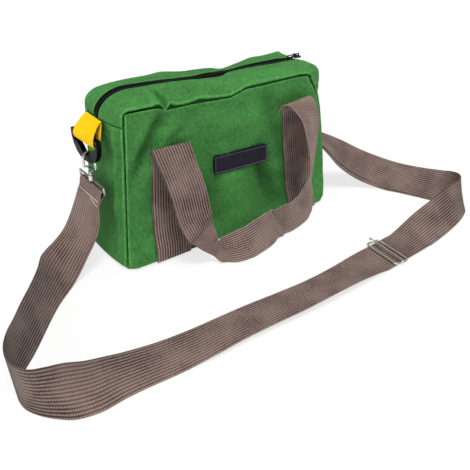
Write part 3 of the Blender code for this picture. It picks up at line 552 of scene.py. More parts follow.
# %% Lines and creases of the front and rear
front_edge = line_of([(-152, 0), (-110, 0), (-100, -2.0), (-96, -5.2), (-90, -4.6), (-60, -4), (2, -5.5),
                      (28, 1.5), (60, 2), (105, 3.5), (135, 4), (152, 3)])
rear_edge = line_of([(-152, 0), (-122, 4.5), (-101, 5), (-56, 4.2), (0, -1), (35, -6), (55, -7.5), (78, -4),
                     (152, 2)])
edge_lines = {-1: front_edge, 1: rear_edge}
face_creases = {
    -1: [((-0.094, 0.200), (-0.150, 0.108), 0.008, -0.0044),
         ((-0.078, 0.192), (-0.132, 0.096), 0.009, 0.0026),
         ((-0.110, 0.190), (-0.148, 0.140), 0.006, 0.0018),
         ((-0.060, 0.170), (-0.120, 0.150), 0.005, -0.0014),
         ((0.000, 0.092), (0.014, 0.015), 0.020, 0.0052),
         ((0.046, 0.110), (0.070, 0.028), 0.012, -0.0060),
         ((-0.040, 0.090), (-0.022, 0.020), 0.009, -0.0034),
         ((-0.040, 0.178), (0.040, 0.150), 0.016, 0.0026),
         ((0.060, 0.190), (0.085, 0.110), 0.010, -0.0026),
         ((0.030, 0.190), (0.055, 0.140), 0.012, 0.0020),
         ((-0.148, 0.075), (-0.120, 0.010), 0.008, 0.0026),
         ((-0.150, 0.100), (-0.136, 0.030), 0.005, -0.0018)],
    1: [((-0.120, 0.185), (-0.040, 0.120), 0.018, -0.0034), ((0.020, 0.190), (0.050, 0.100), 0.018, -0.0036),
        ((-0.020, 0.080), (0.010, 0.015), 0.022, 0.0034), ((0.110, 0.060), (0.145, 0.015), 0.012, 0.0024)],
}
face_seeds = {-1: 3, 1: 5}
face_slack, face_fade, corner_radius = 0.0007, 0.022, 0.0065
foot_gap, top_gap = 0.0003, 0.0004
print("creases:", len(face_creases[-1]), "on the front and", len(face_creases[1]), "on the rear")


# %% Front and rear canvas
def face_out(x, z, side):
    """How far the slack canvas stands out from the flat front or rear, apart from its seams."""
    edge = np.minimum(half_length - np.abs(x), np.minimum(z, seam_height - z))
    out = slack(x, z, face_seeds[side], face_slack) + creases(x, z, face_creases[side])
    return out * ease(edge, 0.0, face_fade)


def face_point(x, z, side, lift):
    """A point of the front or rear canvas: pushed out by its slack and by the lift, and up or down near
    the top by the wave of the top seam."""
    out = face_out(x, z, side) + lift
    raised = z + edge_lines[side](x) * np.clip(z / seam_height, 0, 1) ** 4
    return slump(np.stack(np.broadcast_arrays(x, side * (half_depth + out), raised), -1))


def long_panel(name, side):
    """Front or rear canvas over its whole face, with the fold of a seam on all four edges."""
    xs, x_deep = seam_places(-half_length, half_length)
    zs, z_deep = seam_places(foot_gap, seam_height - top_gap)
    x, z = np.meshgrid(xs, zs)
    deep = two_deep(x_deep[None, :], z_deep[:, None])
    measures = np.stack([x, z], -1)
    # Painted highlight on the seam lips and crests, painted shade in the slits and hollows.
    worn = lip_highlight_and_shade(half_length - np.abs(x), np.minimum(z, seam_height - z), deep, face_out(x, z, side))
    for end in (-1, 1):
        x, z = round_corner(x, z, end * half_length, seam_height - top_gap, corner_radius)
    outward = np.array((0, side, 0.0))
    return sheet(name, face_point(x, z, side, -deep), measures, green_canvas, "bag", outward, worn=worn)


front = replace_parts(long_panel("front_canvas", -1), "front_panel")
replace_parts(long_panel("rear_canvas", 1), "rear_panel")
print("front canvas:", len(front.data.vertices), "points")

# %% End canvas
end_creases = {
    -1: [((-0.043, 0.176), (-0.032, 0.100), 0.0030, -0.0036),
         ((-0.034, 0.176), (-0.024, 0.060), 0.0055, 0.0036),
         ((-0.046, 0.130), (-0.040, 0.040), 0.0030, 0.0020),
         ((-0.012, 0.120), (-0.022, 0.030), 0.0060, -0.0030),
         ((-0.018, 0.172), (-0.034, 0.145), 0.0030, -0.0020),
         ((-0.030, 0.060), (-0.040, 0.010), 0.0050, 0.0022)],
    1: [((-0.034, 0.185), (-0.030, 0.120), 0.0060, 0.0040),
        ((0.020, 0.150), (0.034, 0.060), 0.0070, -0.0026)],
}
end_seeds = {-1: 8, 1: 9}
end_slack, end_fade = 0.0008, 0.013
end_hollow, hollow_level, hollow_height = 0.003, 0.10, 0.06
joint_edge, joint_roll = joint_height - 0.0002, (0.0012, 0.0016)
# The joint crest's painted highlight: its drop below the seam, its width and its strength.
joint_crest_drop, joint_crest_width, joint_crest_highlight = 0.0024, 0.0010, 0.7


def end_out(y, z, end):
    """How far the end canvas stands out: hollowed along its middle, and buckled near its front seam."""
    hollow = end_hollow * bell(z, hollow_level, hollow_height) * (1 - (y / half_depth) ** 2)
    out = slack(y, z, end_seeds[end], end_slack) - hollow + creases(y, z, end_creases[end])
    edge = np.minimum(half_depth - np.abs(y), np.minimum(z, (joint_height - z) * 3))
    return out * ease(edge, 0.0, end_fade)


def end_point(y, z, end, lift):
    """A point of an end canvas, lifted off its slack surface."""
    out = end * (half_length + end_out(y, z, end) + lift)
    return slump(np.stack(np.broadcast_arrays(out, y, z), -1))


def end_panel(name, end):
    """End canvas: the seam's fold on both long edges and at its foot, and a small roll under the joint
    seam, whose crest takes a painted highlight too."""
    ys, y_deep = seam_places(-half_depth, half_depth, 0.002)
    zs, z_deep = seam_places(foot_gap, joint_edge, 0.0025, (True, False))
    y, z = np.meshgrid(ys, zs)
    deep = two_deep(y_deep[None, :], z_deep[:, None]) + roll(joint_edge - z, *joint_roll)
    # Painted highlight on the lips and the joint crest, painted shade in the slits and hollows.
    worn = lip_highlight_and_shade(half_depth - np.abs(y), z, deep, end_out(y, z, end))
    worn = np.maximum(worn, bell(joint_height - z, joint_crest_drop, joint_crest_width) * joint_crest_highlight)
    outward = np.array((end, 0, 0.0))
    measures = np.stack([y, z], -1)
    return sheet(name, end_point(y, z, end, -deep), measures, green_canvas, "bag", outward, worn=worn)


for end, end_name in ends:
    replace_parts(end_panel(f"{end_name}_end_canvas", end), f"{end_name}_end_panel")
print("end canvas: left and right")

# %% Base canvas
xs, x_deep = seam_places(-half_length, half_length, 0.006)
ys, y_deep = seam_places(-half_depth, half_depth, 0.006)
x, y = np.meshgrid(xs, ys)
flat = np.stack([x, y, foot_gap + two_deep(x_deep[None, :], y_deep[:, None])], -1)
base = sheet("base_canvas", slump(flat), np.stack([x, y], -1), green_canvas, "bag", np.array((0, 0, -1.0)))
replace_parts(base, "base_panel")
print("base canvas:", len(base.data.vertices), "points")

# %% [markdown]
# ## The zip panel
# The top is one long panel, cut along its middle for the zip. At both ends it turns down over the bag's
# end to a cross seam. It lies loose: its long edges wave up and down, a fold pinches the front edge, and
# the cut edges stand some millimetres off the zip. The middle part has to fold open, so each long
# half is made as two pieces that meet in the middle.

# %% Lines and creases of the top
front_cut = line_of([(-152, 6.4), (-130, 6.4), (-110, 5.8), (-80, 6), (-60, 7.5), (-40, 9), (-18, 12),
                     (-2, 15), (9, 15.5), (17, 11), (24, 8.5), (34, 8), (60, 8.8), (90, 9), (120, 8),
                     (137, 6), (152, 5)])
rear_cut = line_of([(-152, 6.4), (-130, 7.5), (-110, 8), (-90, 7.5), (-60, 6), (-40, 5.4), (-20, 6),
                    (0, 7), (14, 5.5), (30, 5.8), (60, 7.5), (90, 9.5), (125, 9.5), (140, 7.5), (152, 5)])
cut_lines = {-1: front_cut, 1: rear_cut}
zip_sag = line_of([(-152, 0), (-60, 0), (-20, -2.4), (18, -1.0), (50, 0), (152, 0)])
end_lengths, end_widths, end_rises = {-1: 0.045, 1: 0.026}, {-1: 0.040, 1: 0.014}, {-1: 0.0255, 1: 0.012}
edge_radius = 0.008
rise_rows, turn_rows, flat_rows = 10, 22, 84
puff_lift, puff_power, lean_power, top_slack = 0.0024, 1.3, 1.6, 0.0007
hang_start, hang_full, hang_fade, hang_stop = -0.100, -0.075, 0.128, 0.150
overhang_place, overhang_width, front_overhang, rear_overhang = 0.0095, 0.0065, 0.0022, 0.0024
top_creases = {
    -1: [((-0.0955, 0.052), (-0.0900, 0.016), 0.0024, -0.0056, 0.12),
         ((-0.0875, 0.050), (-0.0820, 0.020), 0.0040, 0.0030, 0.15),
         ((-0.1040, 0.048), (-0.0980, 0.014), 0.0050, 0.0034, 0.15),
         ((-0.070, 0.046), (-0.030, 0.020), 0.0055, -0.0018),
         ((-0.052, 0.048), (-0.010, 0.034), 0.0045, 0.0020),
         ((-0.050, 0.030), (0.022, 0.042), 0.007, -0.0036), ((-0.024, 0.020), (0.010, 0.028), 0.005, 0.0020),
         ((-0.075, 0.024), (-0.045, 0.040), 0.005, 0.0016), ((-0.140, 0.030), (-0.112, 0.034), 0.008, 0.0014),
         ((0.085, 0.018), (0.140, 0.040), 0.006, -0.0014)],
    1: [((0.045, 0.048), (0.030, 0.010), 0.012, -0.0024), ((-0.060, 0.045), (-0.020, 0.020), 0.012, 0.0018),
        ((0.085, 0.046), (0.120, 0.015), 0.010, 0.0016)],
}
right_swell = [((0.030, 0.036), (0.115, 0.030), 0.008, 0.0030)]
top_seeds = {-1: 20, 1: 22}
hem_height, hem_place, hem_width, hem_roll = 0.0009, 0.0015, 0.0030, (0.0010, 0.0012)
# The hem crest's painted highlight: its place from the cut, its width and its strength; then the roll and
# inset of the cross seam.
hem_crest, hem_crest_width, hem_crest_highlight, cross_roll, cross_inset = 0.0008, 0.0007, 0.6, (0.0014, 0.0016), 0.0008
seam_share, seam_share_stop = 0.8, 0.93
print("creases of the top:", len(top_creases[-1]), "in front and", len(top_creases[1]), "at the back")


# %% Profile of the top
def top_level(y):
    """Height of the top at a distance from the zip: it falls by the square of that distance to the seams."""
    return seam_height + (zip_height - seam_height) * (1 - np.minimum((y / inner_depth) ** 2, 1.05))


def top_profile(end, y):
    """For one end and an array of y: the line up the end, a quarter ellipse round the shoulder, and along
    the top to the middle. Returns places (across x, up z), the direction straight out of the cloth, and the
    length along it. The last two rows lie close together, so that the halves' shading agrees where they
    meet."""
    share = np.minimum((y / inner_depth) ** 2, 1.0)
    level = top_level(y)
    wide = end_widths[end] + (edge_radius - end_widths[end]) * share
    high = end_rises[end] + (edge_radius - end_rises[end]) * share
    rise_x = np.full((rise_rows, len(y)), half_length)
    rise_z = joint_height + (level - high - joint_height) * np.linspace(0, 1, rise_rows)[:, None]
    angle = np.linspace(0, math.pi / 2, turn_rows)[1:, None]
    turn_x = half_length - wide + wide * np.cos(angle)
    turn_z = level - high + high * np.sin(angle)
    t = np.append(np.linspace(0, 1, flat_rows)[1:-1], [0.999, 1.0])[:, None]
    run_x = (half_length - wide) * (1 - t)
    run_z = np.broadcast_to(level, run_x.shape)
    px, pz = np.concatenate([rise_x, turn_x, run_x]), np.concatenate([rise_z, turn_z, run_z])
    nx = np.concatenate([np.ones_like(rise_x), np.cos(angle) * high, np.zeros_like(run_x)])
    nz = np.concatenate([np.zeros_like(rise_x), np.sin(angle) * wide, np.ones_like(run_x)])
    size = np.hypot(nx, nz)
    steps = np.hypot(np.diff(px, axis=0), np.diff(pz, axis=0))
    length = np.concatenate([np.zeros((1, len(y))), np.cumsum(steps, axis=0)])
    return end * px, pz, end * nx / size, nz / size, length


left_length = top_profile(-1, np.zeros(1))[-1][-1, 0]
print("the zip's left half is", round(float(left_length), 3), "m long, with its turn down the end")


# %% Slack of the top
def top_lift(px, across, side):
    """How far the slack top canvas stands off its plain shape: the waves of its seam edge, the sag of the
    zip, a soft roll between the two, an overhang above the seam, and the creases seen in the photograph."""
    share = np.clip(across / half_depth, 0, 1)
    lean = share ** lean_power
    puff = np.sin(math.pi * share) ** puff_power
    lift = edge_lines[side](px) * lean + zip_sag(px) * (1 - lean) + puff_lift * puff
    overhang = bell(half_depth - across, overhang_place, overhang_width)
    if side < 0:
        hanging = ease(px, hang_start, hang_full) * (1 - ease(px, hang_fade, hang_stop))
        lift += front_overhang * overhang * hanging * ease(half_depth - across, 0.0, 0.006)
        lift += creases(px, across, right_swell) * ease(half_depth - across, 0.0, 0.008)
    else:
        lift += rear_overhang * overhang
    lift += slack(px, across * side, top_seeds[side], top_slack) * puff
    return lift + creases(px, across, top_creases[side])


def top_point(end, side, across, lift):
    """Points of the top: each row of the profile, at the given distance from the zip, lifted straight out.
    Returns them with the directions straight out, the lengths along the profile and the places along X."""
    across = np.asarray(across, float)
    guide = across if across.ndim == 1 else across.mean(0)
    px, pz, nx, nz, length = top_profile(end, guide)
    across = np.broadcast_to(across, px.shape)
    raised = top_lift(px, across, side) * nz ** 2 * ease(length, 0.0, 0.01) + lift
    flat = np.stack([px + nx * raised, side * across, pz + nz * raised], -1)
    return slump(flat), np.stack([nx, np.zeros_like(nx), nz], -1), length, px


print("the front's cut is", round(float(front_cut(0.009)) * 1000, 1), "mm from the zip where it gapes most")


# %% Quarters of the top
def top_piece(name, end, side):
    """A quarter of the top: columns go from the zip's cut, with its hem's round edge, to the long seam. They
    spread evenly from the cut at first, and past the seam's share they keep to the fold of the seam."""
    outer, outer_deep = seam_places(0.0, half_depth, 0.0022, (False, True))
    share = (outer / half_depth)[None, :]
    px, _, _, _, length = top_profile(end, outer)
    cut = cut_lines[side](px)
    across = cut + (half_depth - cut) * share
    across = across + (outer - across) * ease(share, seam_share, seam_share_stop)
    hem = hem_height * np.exp(-((outer - hem_place) / hem_width) ** 4) - roll(outer, *hem_roll)
    deep = outer_deep + roll(length, *cross_roll)
    grid, outward, _, px = top_point(end, side, across, hem - deep)
    stand = top_lift(px, across, side) - puff_lift * np.sin(math.pi * across / half_depth) ** puff_power
    # Painted highlight on the lips and the hem's crest, painted shade in the slits and hollows.
    worn = lip_highlight_and_shade(half_depth - across, length + cross_inset, deep, stand)
    worn = np.maximum(worn, bell(across - cut, hem_crest, hem_crest_width) * hem_crest_highlight)
    measures = np.stack([length, across], -1)
    return sheet(name, grid, measures, green_canvas, None, outward[:-1, :-1], worn=worn)


cut_places = {end: end * (half_length - end_lengths[end]) for end in (-1, 1)}
bend_length = 0.050
top_solids = {(-1, -1): "front_top_flap", (1, 1): "rear_top_flap",
              (-1, 1): "left_top_end", (1, -1): "right_top_end"}


def bends(piece):
    """Bakes the piece's transform into its points."""
    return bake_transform(piece)


for end, side, name in quarters:
    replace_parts(bends(top_piece(f"{name}_top_canvas", end, side)), top_solids[end, side])
print("top canvas: four quarters")

# %% [markdown]
# ## Lining and seam strips
# Inside the bag a wall of canvas stands a little in from the outer one, so that no light comes through a seam
# and the open bag shows cloth; its colours are the green's darkened to about a third, as painted shade. Under
# each long top seam a narrow strip of the same shaded canvas is sewn to both sides.

# %% Lining
lining_inset, lining_radius, lining_foot, lining_top_gap = 0.0095, 0.006, 0.009, 0.011
lining_rows, lining_columns = 16, 220
turns = np.linspace(0, math.pi / 2, 7)[None, :] + np.arange(4)[:, None] * math.pi / 2
sign_x, sign_y = np.array([1, -1, -1, 1])[:, None], np.array([1, 1, -1, -1])[:, None]
straight_x, straight_y = (half - lining_inset - lining_radius for half in (half_length, half_depth))
plan = np.stack([sign_x * straight_x + lining_radius * np.cos(turns),
                 sign_y * straight_y + lining_radius * np.sin(turns),
                 np.cos(turns), np.sin(turns)], -1).reshape(-1, 4)
plan = np.concatenate([plan, plan[:1]])
run_length = np.concatenate([[0], np.cumsum(np.linalg.norm(np.diff(plan[:, :2], axis=0), axis=1))])
places = np.linspace(0, run_length[-1], lining_columns)
plan = np.stack([np.interp(places, run_length, plan[:, axis]) for axis in range(4)], -1)
levels = np.linspace(lining_foot, seam_height - lining_top_gap, lining_rows)[:, None]
wall_grid = np.stack(np.broadcast_arrays(plan[:, 0], plan[:, 1], levels), -1)
outward = np.stack(np.broadcast_arrays(plan[:-1, 2], plan[:-1, 3], 0 * levels[1:]), -1)
measures = np.stack(np.broadcast_arrays(places, levels), -1)
sheet("canvas_lining", slump(wall_grid), measures, shaded_lining_canvas, "bag", outward, 0.0008)
print("lining:", round(float(run_length[-1]), 2), "m round")

# %% Seam strips
strip_depth, strip_reach = 0.0042, 0.012
wall_drops = np.array([[0.016, 0.010, 0.006]])


def seam_strip(name, end, side):
    """Columns go from the panel's inner side, over the corner, and in under the top. The strip narrows toward
    the sewn end over the bend length."""
    x = np.linspace(cut_places[end], 0.0, 60)[:, None]
    reach = strip_reach * np.clip(np.abs(x - cut_places[end]) / bend_length, 0.05, 1)
    across = half_depth - strip_depth - reach * np.linspace(0, 1, 6)[None, :]
    x_wide = np.broadcast_to(x, across.shape)
    raised = top_level(across) + top_lift(x_wide, across, side) - strip_depth
    top = slump(np.stack([x_wide, side * across, raised], -1))
    x_wall, z_wall = np.broadcast_arrays(x, seam_height - wall_drops)
    grid = np.concatenate([face_point(x_wall, z_wall, side, -strip_depth), top], axis=1)
    measures = np.stack(np.broadcast_arrays(x, np.arange(9)[None, :] * 0.003), -1)
    piece = sheet(name, grid, measures, shaded_lining_canvas, None, np.array((0, side, 1.0)), 0.0006)
    first, last = slump([(x, side * half_depth, seam_height) for x in (-0.1, 0.1)])
    inward = -side * np.array((first[1] - last[1], last[0] - first[0], 0.0))
    inward /= np.linalg.norm(inward)
    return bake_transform(piece)


for end, side, name in quarters:
    seam_strip(f"{name}_seam_strip", end, side)
print("seam strips:", len(quarters))

# %% [markdown]
# ## The zip
# A coil zip: two woven tapes with a row of small teeth on each inner edge, nearly black. The tapes
# run under the canvas edges and follow the same shoulders. Teeth are hundreds of tiny blocks, so
# each has only six faces.

# %% Tape and teeth materials
def tape_cloth(name, dark, light):
    """A close herringbone of two waves on a dark ground."""
    material, tree, shader = new_material(name)
    uv, place = cloth_places(tree)
    pitch = 0.0007
    bands = product(tree, yarn_waves(tree, uv, pitch, "X"), yarn_waves(tree, uv, pitch, "Y"))
    amount = total(tree, product(tree, bands, 0.5), product(tree, noise(tree, place, 300.0, 3.0), 0.5))
    connect(tree, shader, {"Base Color": mix_colour(tree, amount, dark, light), "Roughness": 0.9,
                           "Normal": bump(tree, bands, 0.5, 0.00015), "Specular IOR Level": 0.06})
    return material


def moulded(name, dark, light, roughness, grain=900.0, depth=0.00004, gloss_level=0.3):
    """Moulded plastic: an even colour with a faint mottle and a fine grain in its gloss and its bump."""
    material, tree, shader = new_material(name)
    place = node(tree, "ShaderNodeTexCoord").outputs["Object"]
    mottle, fine = noise(tree, place, 60.0, 3.0), noise(tree, place, grain, 2.0)
    gloss = spread(tree, fine, 0.0, 1.0, roughness - 0.07, roughness + 0.09)
    connect(tree, shader, {"Base Color": mix_colour(tree, mottle, dark, light), "Roughness": gloss,
                           "Normal": bump(tree, fine, 0.4, depth), "Specular IOR Level": gloss_level})
    return material


zip_tape = tape_cloth("zip tape", (0.003, 0.002, 0.005), (0.012, 0.010, 0.017))
zip_teeth = moulded("zip teeth", (0.004, 0.003, 0.006), (0.012, 0.010, 0.017), 0.45, gloss_level=0.12)
print("zip materials:", zip_tape.name, "and", zip_teeth.name)

# %% Rows of small blocks
block = np.array([(sx, sy, sz) for sx in (-1, 1) for sy in (-1, 1) for sz in (-1, 1)], float) / 2
block_faces = np.array([(0, 1, 3, 2), (4, 6, 7, 5), (0, 4, 5, 1), (2, 3, 7, 6), (0, 2, 6, 4), (1, 5, 7, 3)])


def unit(vectors):
    """Each vector over its own length."""
    return vectors / np.linalg.norm(vectors, axis=-1, keepdims=True)


def at_lengths(values, length, where):
    """Points or directions along a line, at given lengths along it."""
    return np.stack([np.interp(where, length, values[:, axis]) for axis in range(3)], -1)


def repeat(name, centres, along, across, out, size, material, body):
    """Copies a small block to every centre at once: its three measures are laid along three directions."""
    directions = np.stack([along, across, out], 1)
    points = centres[:, None, :] + (block * size) @ directions
    handed = np.sum(np.cross(along, across) * out) > 0
    faces = block_faces if handed else block_faces[:, ::-1]
    faces = (faces + (np.arange(len(centres)) * len(block))[:, None, None]).reshape(-1, 4)
    measures = np.zeros((len(centres) * len(block), 2))
    return finish_mesh(name, points.reshape(-1, 3), faces.tolist(), measures, material, body, smooth=False)


def blocks_in(word):
    """How many blocks there are in the pieces with that word in their names."""
    pieces = [piece for piece in bpy.data.objects if word in piece.name]
    return sum(len(piece.data.polygons) for piece in pieces) // len(block_faces)


print("a block has", len(block), "corners and", len(block_faces), "faces")

# %% Tapes and teeth
tape_gap, tape_reach, tape_under, cut_reach = 0.0005, 0.0032, 0.0010, 0.012
tooth_pitch, tooth_size, tooth_across, tooth_under = 0.0015, (0.0009, 0.0026, 0.0014), 0.0011, 0.0003
first_tooth = 0.001


def zip_half(name, end, side):
    """Tape: a narrow grid on the same slack surface, a little under it, from the teeth out past the cut."""
    share = np.linspace(0, 1, 9)
    cut = cut_lines[side](top_profile(end, share * cut_reach)[0])
    across = tape_gap + share * (cut + tape_reach)
    grid, outward, length, _ = top_point(end, side, across, -tape_under)
    return sheet(name, grid, np.stack([length, across], -1), zip_tape, None, outward[:-1, :-1], 0.0006)


def teeth(name, end, side):
    """Blocks at every pitch along the zip, with those of the rear half shifted by half a pitch, so that the
    two halves interlock."""
    grid, normals, length, _ = top_point(end, -1, np.zeros(1), 0.0)
    s = np.arange(first_tooth, length[-1, 0], tooth_pitch)
    line, out = (at_lengths(values[:, 0], length[:, 0], s) for values in (grid, normals))
    out = unit(out)
    along = unit(np.gradient(line, axis=0))
    across = np.broadcast_to(np.array((0, float(side), 0)), line.shape)
    shift = tooth_pitch / 2 if side > 0 else 0
    centres = line + across * tooth_across + along * shift - out * tooth_under
    return repeat(name, centres, along, across, out, tooth_size, zip_teeth, None)


for end, side, name in quarters:
    bends(zip_half(f"{name}_tape", end, side))
    bends(teeth(f"{name}_teeth", end, side))
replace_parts(bpy.data.objects["front_left_tape"], "front_zip_tape", "left_zip_end")
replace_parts(bpy.data.objects["rear_right_tape"], "rear_zip_tape", "right_zip_end")
print("zip: four tapes and", blocks_in("_teeth"), "teeth")

# %% [markdown]
# ## Webbing
# The handles and the strap are 50 mm webbing: a woven strip with fourteen raised cords along it, and rounded
# edges. The yellow tabs are a little narrower and have twenty-four finer cords. The cords are real ribs,
# because they catch the light and show every twist. A band is given by its two edges. The middle of each
# pair carries a cross-section, which is a flat loop whose two faces ripple once for each cord.

# %% Webbing material
webbing_ribs, tab_ribs = 14, 24


def webbing_cloth(name, dark, mid, light, ribs=webbing_ribs, gloss=0.25):
    """Across the band the colour darkens in each valley between ribs, as painted shade, and goes lightest on
    the rib crowns under the cross yarns' dashes, as a painted highlight. Along it, short dashes from
    the cross yarns break the ribs up."""
    material, tree, shader = new_material(name)
    uv, place = cloth_places(tree)
    ribbing = waves(tree, uv, web_width / ribs, "Y", distortion=0.0, phase_offset=math.pi * 1.5)
    dash = waves(tree, uv, 0.0021, "X", distortion=1.5, detail=2.0, detail_scale=3.0)
    quick, slow = noise(tree, place, 700.0, 3.0, 0.7), noise(tree, place, 30.0, 3.0)
    # Painted shade in the valleys between ribs, and a painted highlight on the rib crowns.
    valley = spread(tree, ribbing, 0.12, 0.85)
    crown_highlight = product(tree, product(tree, valley, dash), 0.9)
    lit = mix_colour(tree, crown_highlight, mix_colour(tree, valley, dark, mid), light)
    specked = mix_colour(tree, spread(tree, quick, 0.35, 0.65, most=0.45), lit, dark)
    patchy = mix_colour(tree, spread(tree, slow, 0.35, 0.65, most=0.25), specked, light)
    height = total(tree, dash, quick)
    connect(tree, shader, {"Base Color": patchy, "Normal": bump(tree, height, 0.6, 0.0002), "Roughness": 0.72,
                           "Specular IOR Level": gloss, "Sheen Weight": gloss * 0.3})
    return material


taupe_webbing = webbing_cloth("taupe webbing", (0.026, 0.012, 0.010),
                              (0.175, 0.108, 0.090), (0.500, 0.370, 0.315))
# The sewn strips take a lighter copy of the handles' webbing: painted light.
lit_strip_webbing = webbing_cloth("strip webbing", (0.034, 0.016, 0.014),
                              (0.235, 0.150, 0.126), (0.600, 0.450, 0.385))
# The strap takes a darker copy of the same webbing: painted shade.
shaded_strap_webbing = webbing_cloth("strap webbing", (0.020, 0.009, 0.008),
                              (0.140, 0.085, 0.071), (0.420, 0.308, 0.262))
yellow_webbing = webbing_cloth("yellow webbing", (0.860, 0.480, 0.002), (0.980, 0.660, 0.003),
                               (1.000, 0.760, 0.008), tab_ribs, gloss=0.08)
webbings = (taupe_webbing, lit_strip_webbing, shaded_strap_webbing, yellow_webbing)
print("webbings:", ", ".join(webbing.name for webbing in webbings))


# %% A curve through rows
def through(points, spans):
    """A smooth curve through the rows of points (Catmull-Rom), with the given number of steps in each span.
    Half way between two rows it is 9/16 of their sum less 1/16 of the sum of the rows beyond them."""
    points = np.asarray(points, float)
    padded = np.concatenate([[2 * points[0] - points[1]], points, [2 * points[-1] - points[-2]]])
    pieces = []
    for index, count in enumerate(spans):
        before, here, there, after = padded[index:index + 4]
        t = (np.arange(count) / count)[:, None]
        pieces.append((2 * here + (there - before) * t + (2 * before - 5 * here + 4 * there - after) * t ** 2
                       + (3 * here - before - 3 * there + after) * t ** 3) / 2)
    pieces.append(points[-1:])
    return np.concatenate(pieces)


step_up = through([[0.0], [0.0], [1.0], [1.0]], [1, 2, 1])
print("half way over a step up from 0 to 1 the curve is at", step_up[2, 0])

# %% Bands between two edges
floor_gap = 0.0002
rib_steps, edge_share, edge_least = 4, 0.03, 0.25


def band(name, pairs, material, body, ribs=webbing_ribs, step=0.0025, ripple=0.00042, folds=()):
    """Rings of one cross-section along the middle line. Across the band, s runs from -1 to 1; the faces are
    at plus and minus half the thickness, less at the rounded edges, and ripple once for each rib. A fold is
    a bell curve across the band: the row where it lies, its slope, its depth and its width. No point goes
    below the floor."""
    pairs = np.asarray(pairs, float).reshape(len(pairs), 6)
    middles = (pairs[:, :3] + pairs[:, 3:]) / 2
    spans = np.maximum(2, np.ceil(np.linalg.norm(np.diff(middles, axis=0), axis=1) / step)).astype(int)
    line = through(pairs, spans)
    middle, across = (line[:, :3] + line[:, 3:]) / 2, line[:, 3:] - line[:, :3]
    half = np.linalg.norm(across, axis=1, keepdims=True) / 2
    across = across / (2 * half)
    out = unit(np.cross(np.gradient(middle, axis=0), across))
    row_shares = np.concatenate([np.arange(count) / count for count in spans])
    row_places = np.append(np.repeat(np.arange(len(spans)), spans) + row_shares, len(spans))
    distance = np.concatenate([[0], np.cumsum(np.linalg.norm(np.diff(middle, axis=0), axis=1))])
    s = np.linspace(-1, 1, ribs * rib_steps + 1)
    edge = np.sqrt(np.maximum(1 - np.maximum((np.abs(s) - 1 + edge_share) / edge_share, 0) ** 2, 0.0))
    ripples = np.abs(np.sin((s + 1) * math.pi / 2 * ribs))
    height = (web / 2 - ripple + ripple * ripples) * np.maximum(edge, edge_least)
    section_s, section_h = np.concatenate([s, s[::-1]]), np.concatenate([height, -height[::-1]])
    offset = section_s * half
    lift = np.zeros_like(offset)
    for row, slope, depth, width in folds:
        place = np.interp(row, row_places, distance)
        lift += depth * bell(distance[:, None] + slope * offset, place, width)
    rings = middle[:, None] + across[:, None] * offset[..., None]
    rings += out[:, None] * (section_h + lift)[..., None]
    rings[..., 2] = np.maximum(rings[..., 2], floor_gap)
    rows, columns = rings.shape[:2]
    faces = [face[::-1] for face in grid_faces(rows, columns, around=True).tolist()]
    faces += [list(range(columns))[::-1], list(range((rows - 1) * columns, rows * columns))]
    measures = np.stack(np.broadcast_arrays(distance[:, None], (section_s + 1) / 2 * web_width), -1)
    return finish_mesh(name, rings.reshape(-1, 3), faces, measures.reshape(-1, 2), material, body)


print("a band has", 2 * (webbing_ribs * rib_steps + 1), "points in each ring")

# %% [markdown]
# ## Handles and their sewn strips
# Each handle is one length of webbing. Its two ends run down the canvas as sewn strips, and the loop between
# them hangs down beside the bag. The front one stands on the floor and creases where it turns the corners.
# Both of its edges were read off the photograph, so that the band follows the twists of the real one.

# %% Sewn strips
strip_bottom = 0.003
strip_gap = 0.0007
strip_places = {"front_left_anchor": (-0.3066 * bag_length, -1, 0.1465),
                "front_right_anchor": (0.377 * bag_length, -1, 0.1655),
                "rear_left_anchor": (-0.328 * bag_length, 1, 0.1465),
                "rear_right_anchor": (0.328 * bag_length, 1, 0.1465)}
width_shares = (-0.5, -0.25, 0, 0.25, 0.5)


def strip_line(place, side, z, lift):
    """The middle line of a strip at the heights z: upright on the slumped bag, and as far out as the highest
    point of the canvas across its width, plus the lift."""
    line = slump(np.stack(np.broadcast_arrays(place, side * half_depth, z), -1))
    reach = np.max([face_out(place + share * web_width + 0 * z, z, side) for share in width_shares], axis=0)
    line[:, 1] += side * (np.maximum(reach, 0) + lift)
    return line


def strip(name, place, side, top):
    """Two edges of a vertical strip that lies on the canvas, as pairs from its foot to its top."""
    line = strip_line(place, side, np.linspace(strip_bottom, top, 30), strip_gap + web / 2)
    edges = [line + np.array((shift * side, 0, 0)) for shift in (web_width / 2, -web_width / 2)]
    return band(name + "_webbing", np.concatenate(edges, axis=1), lit_strip_webbing, "bag")


for name, (place, side, top) in strip_places.items():
    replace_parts(strip(name, place, side, top), name)
print("four sewn strips")

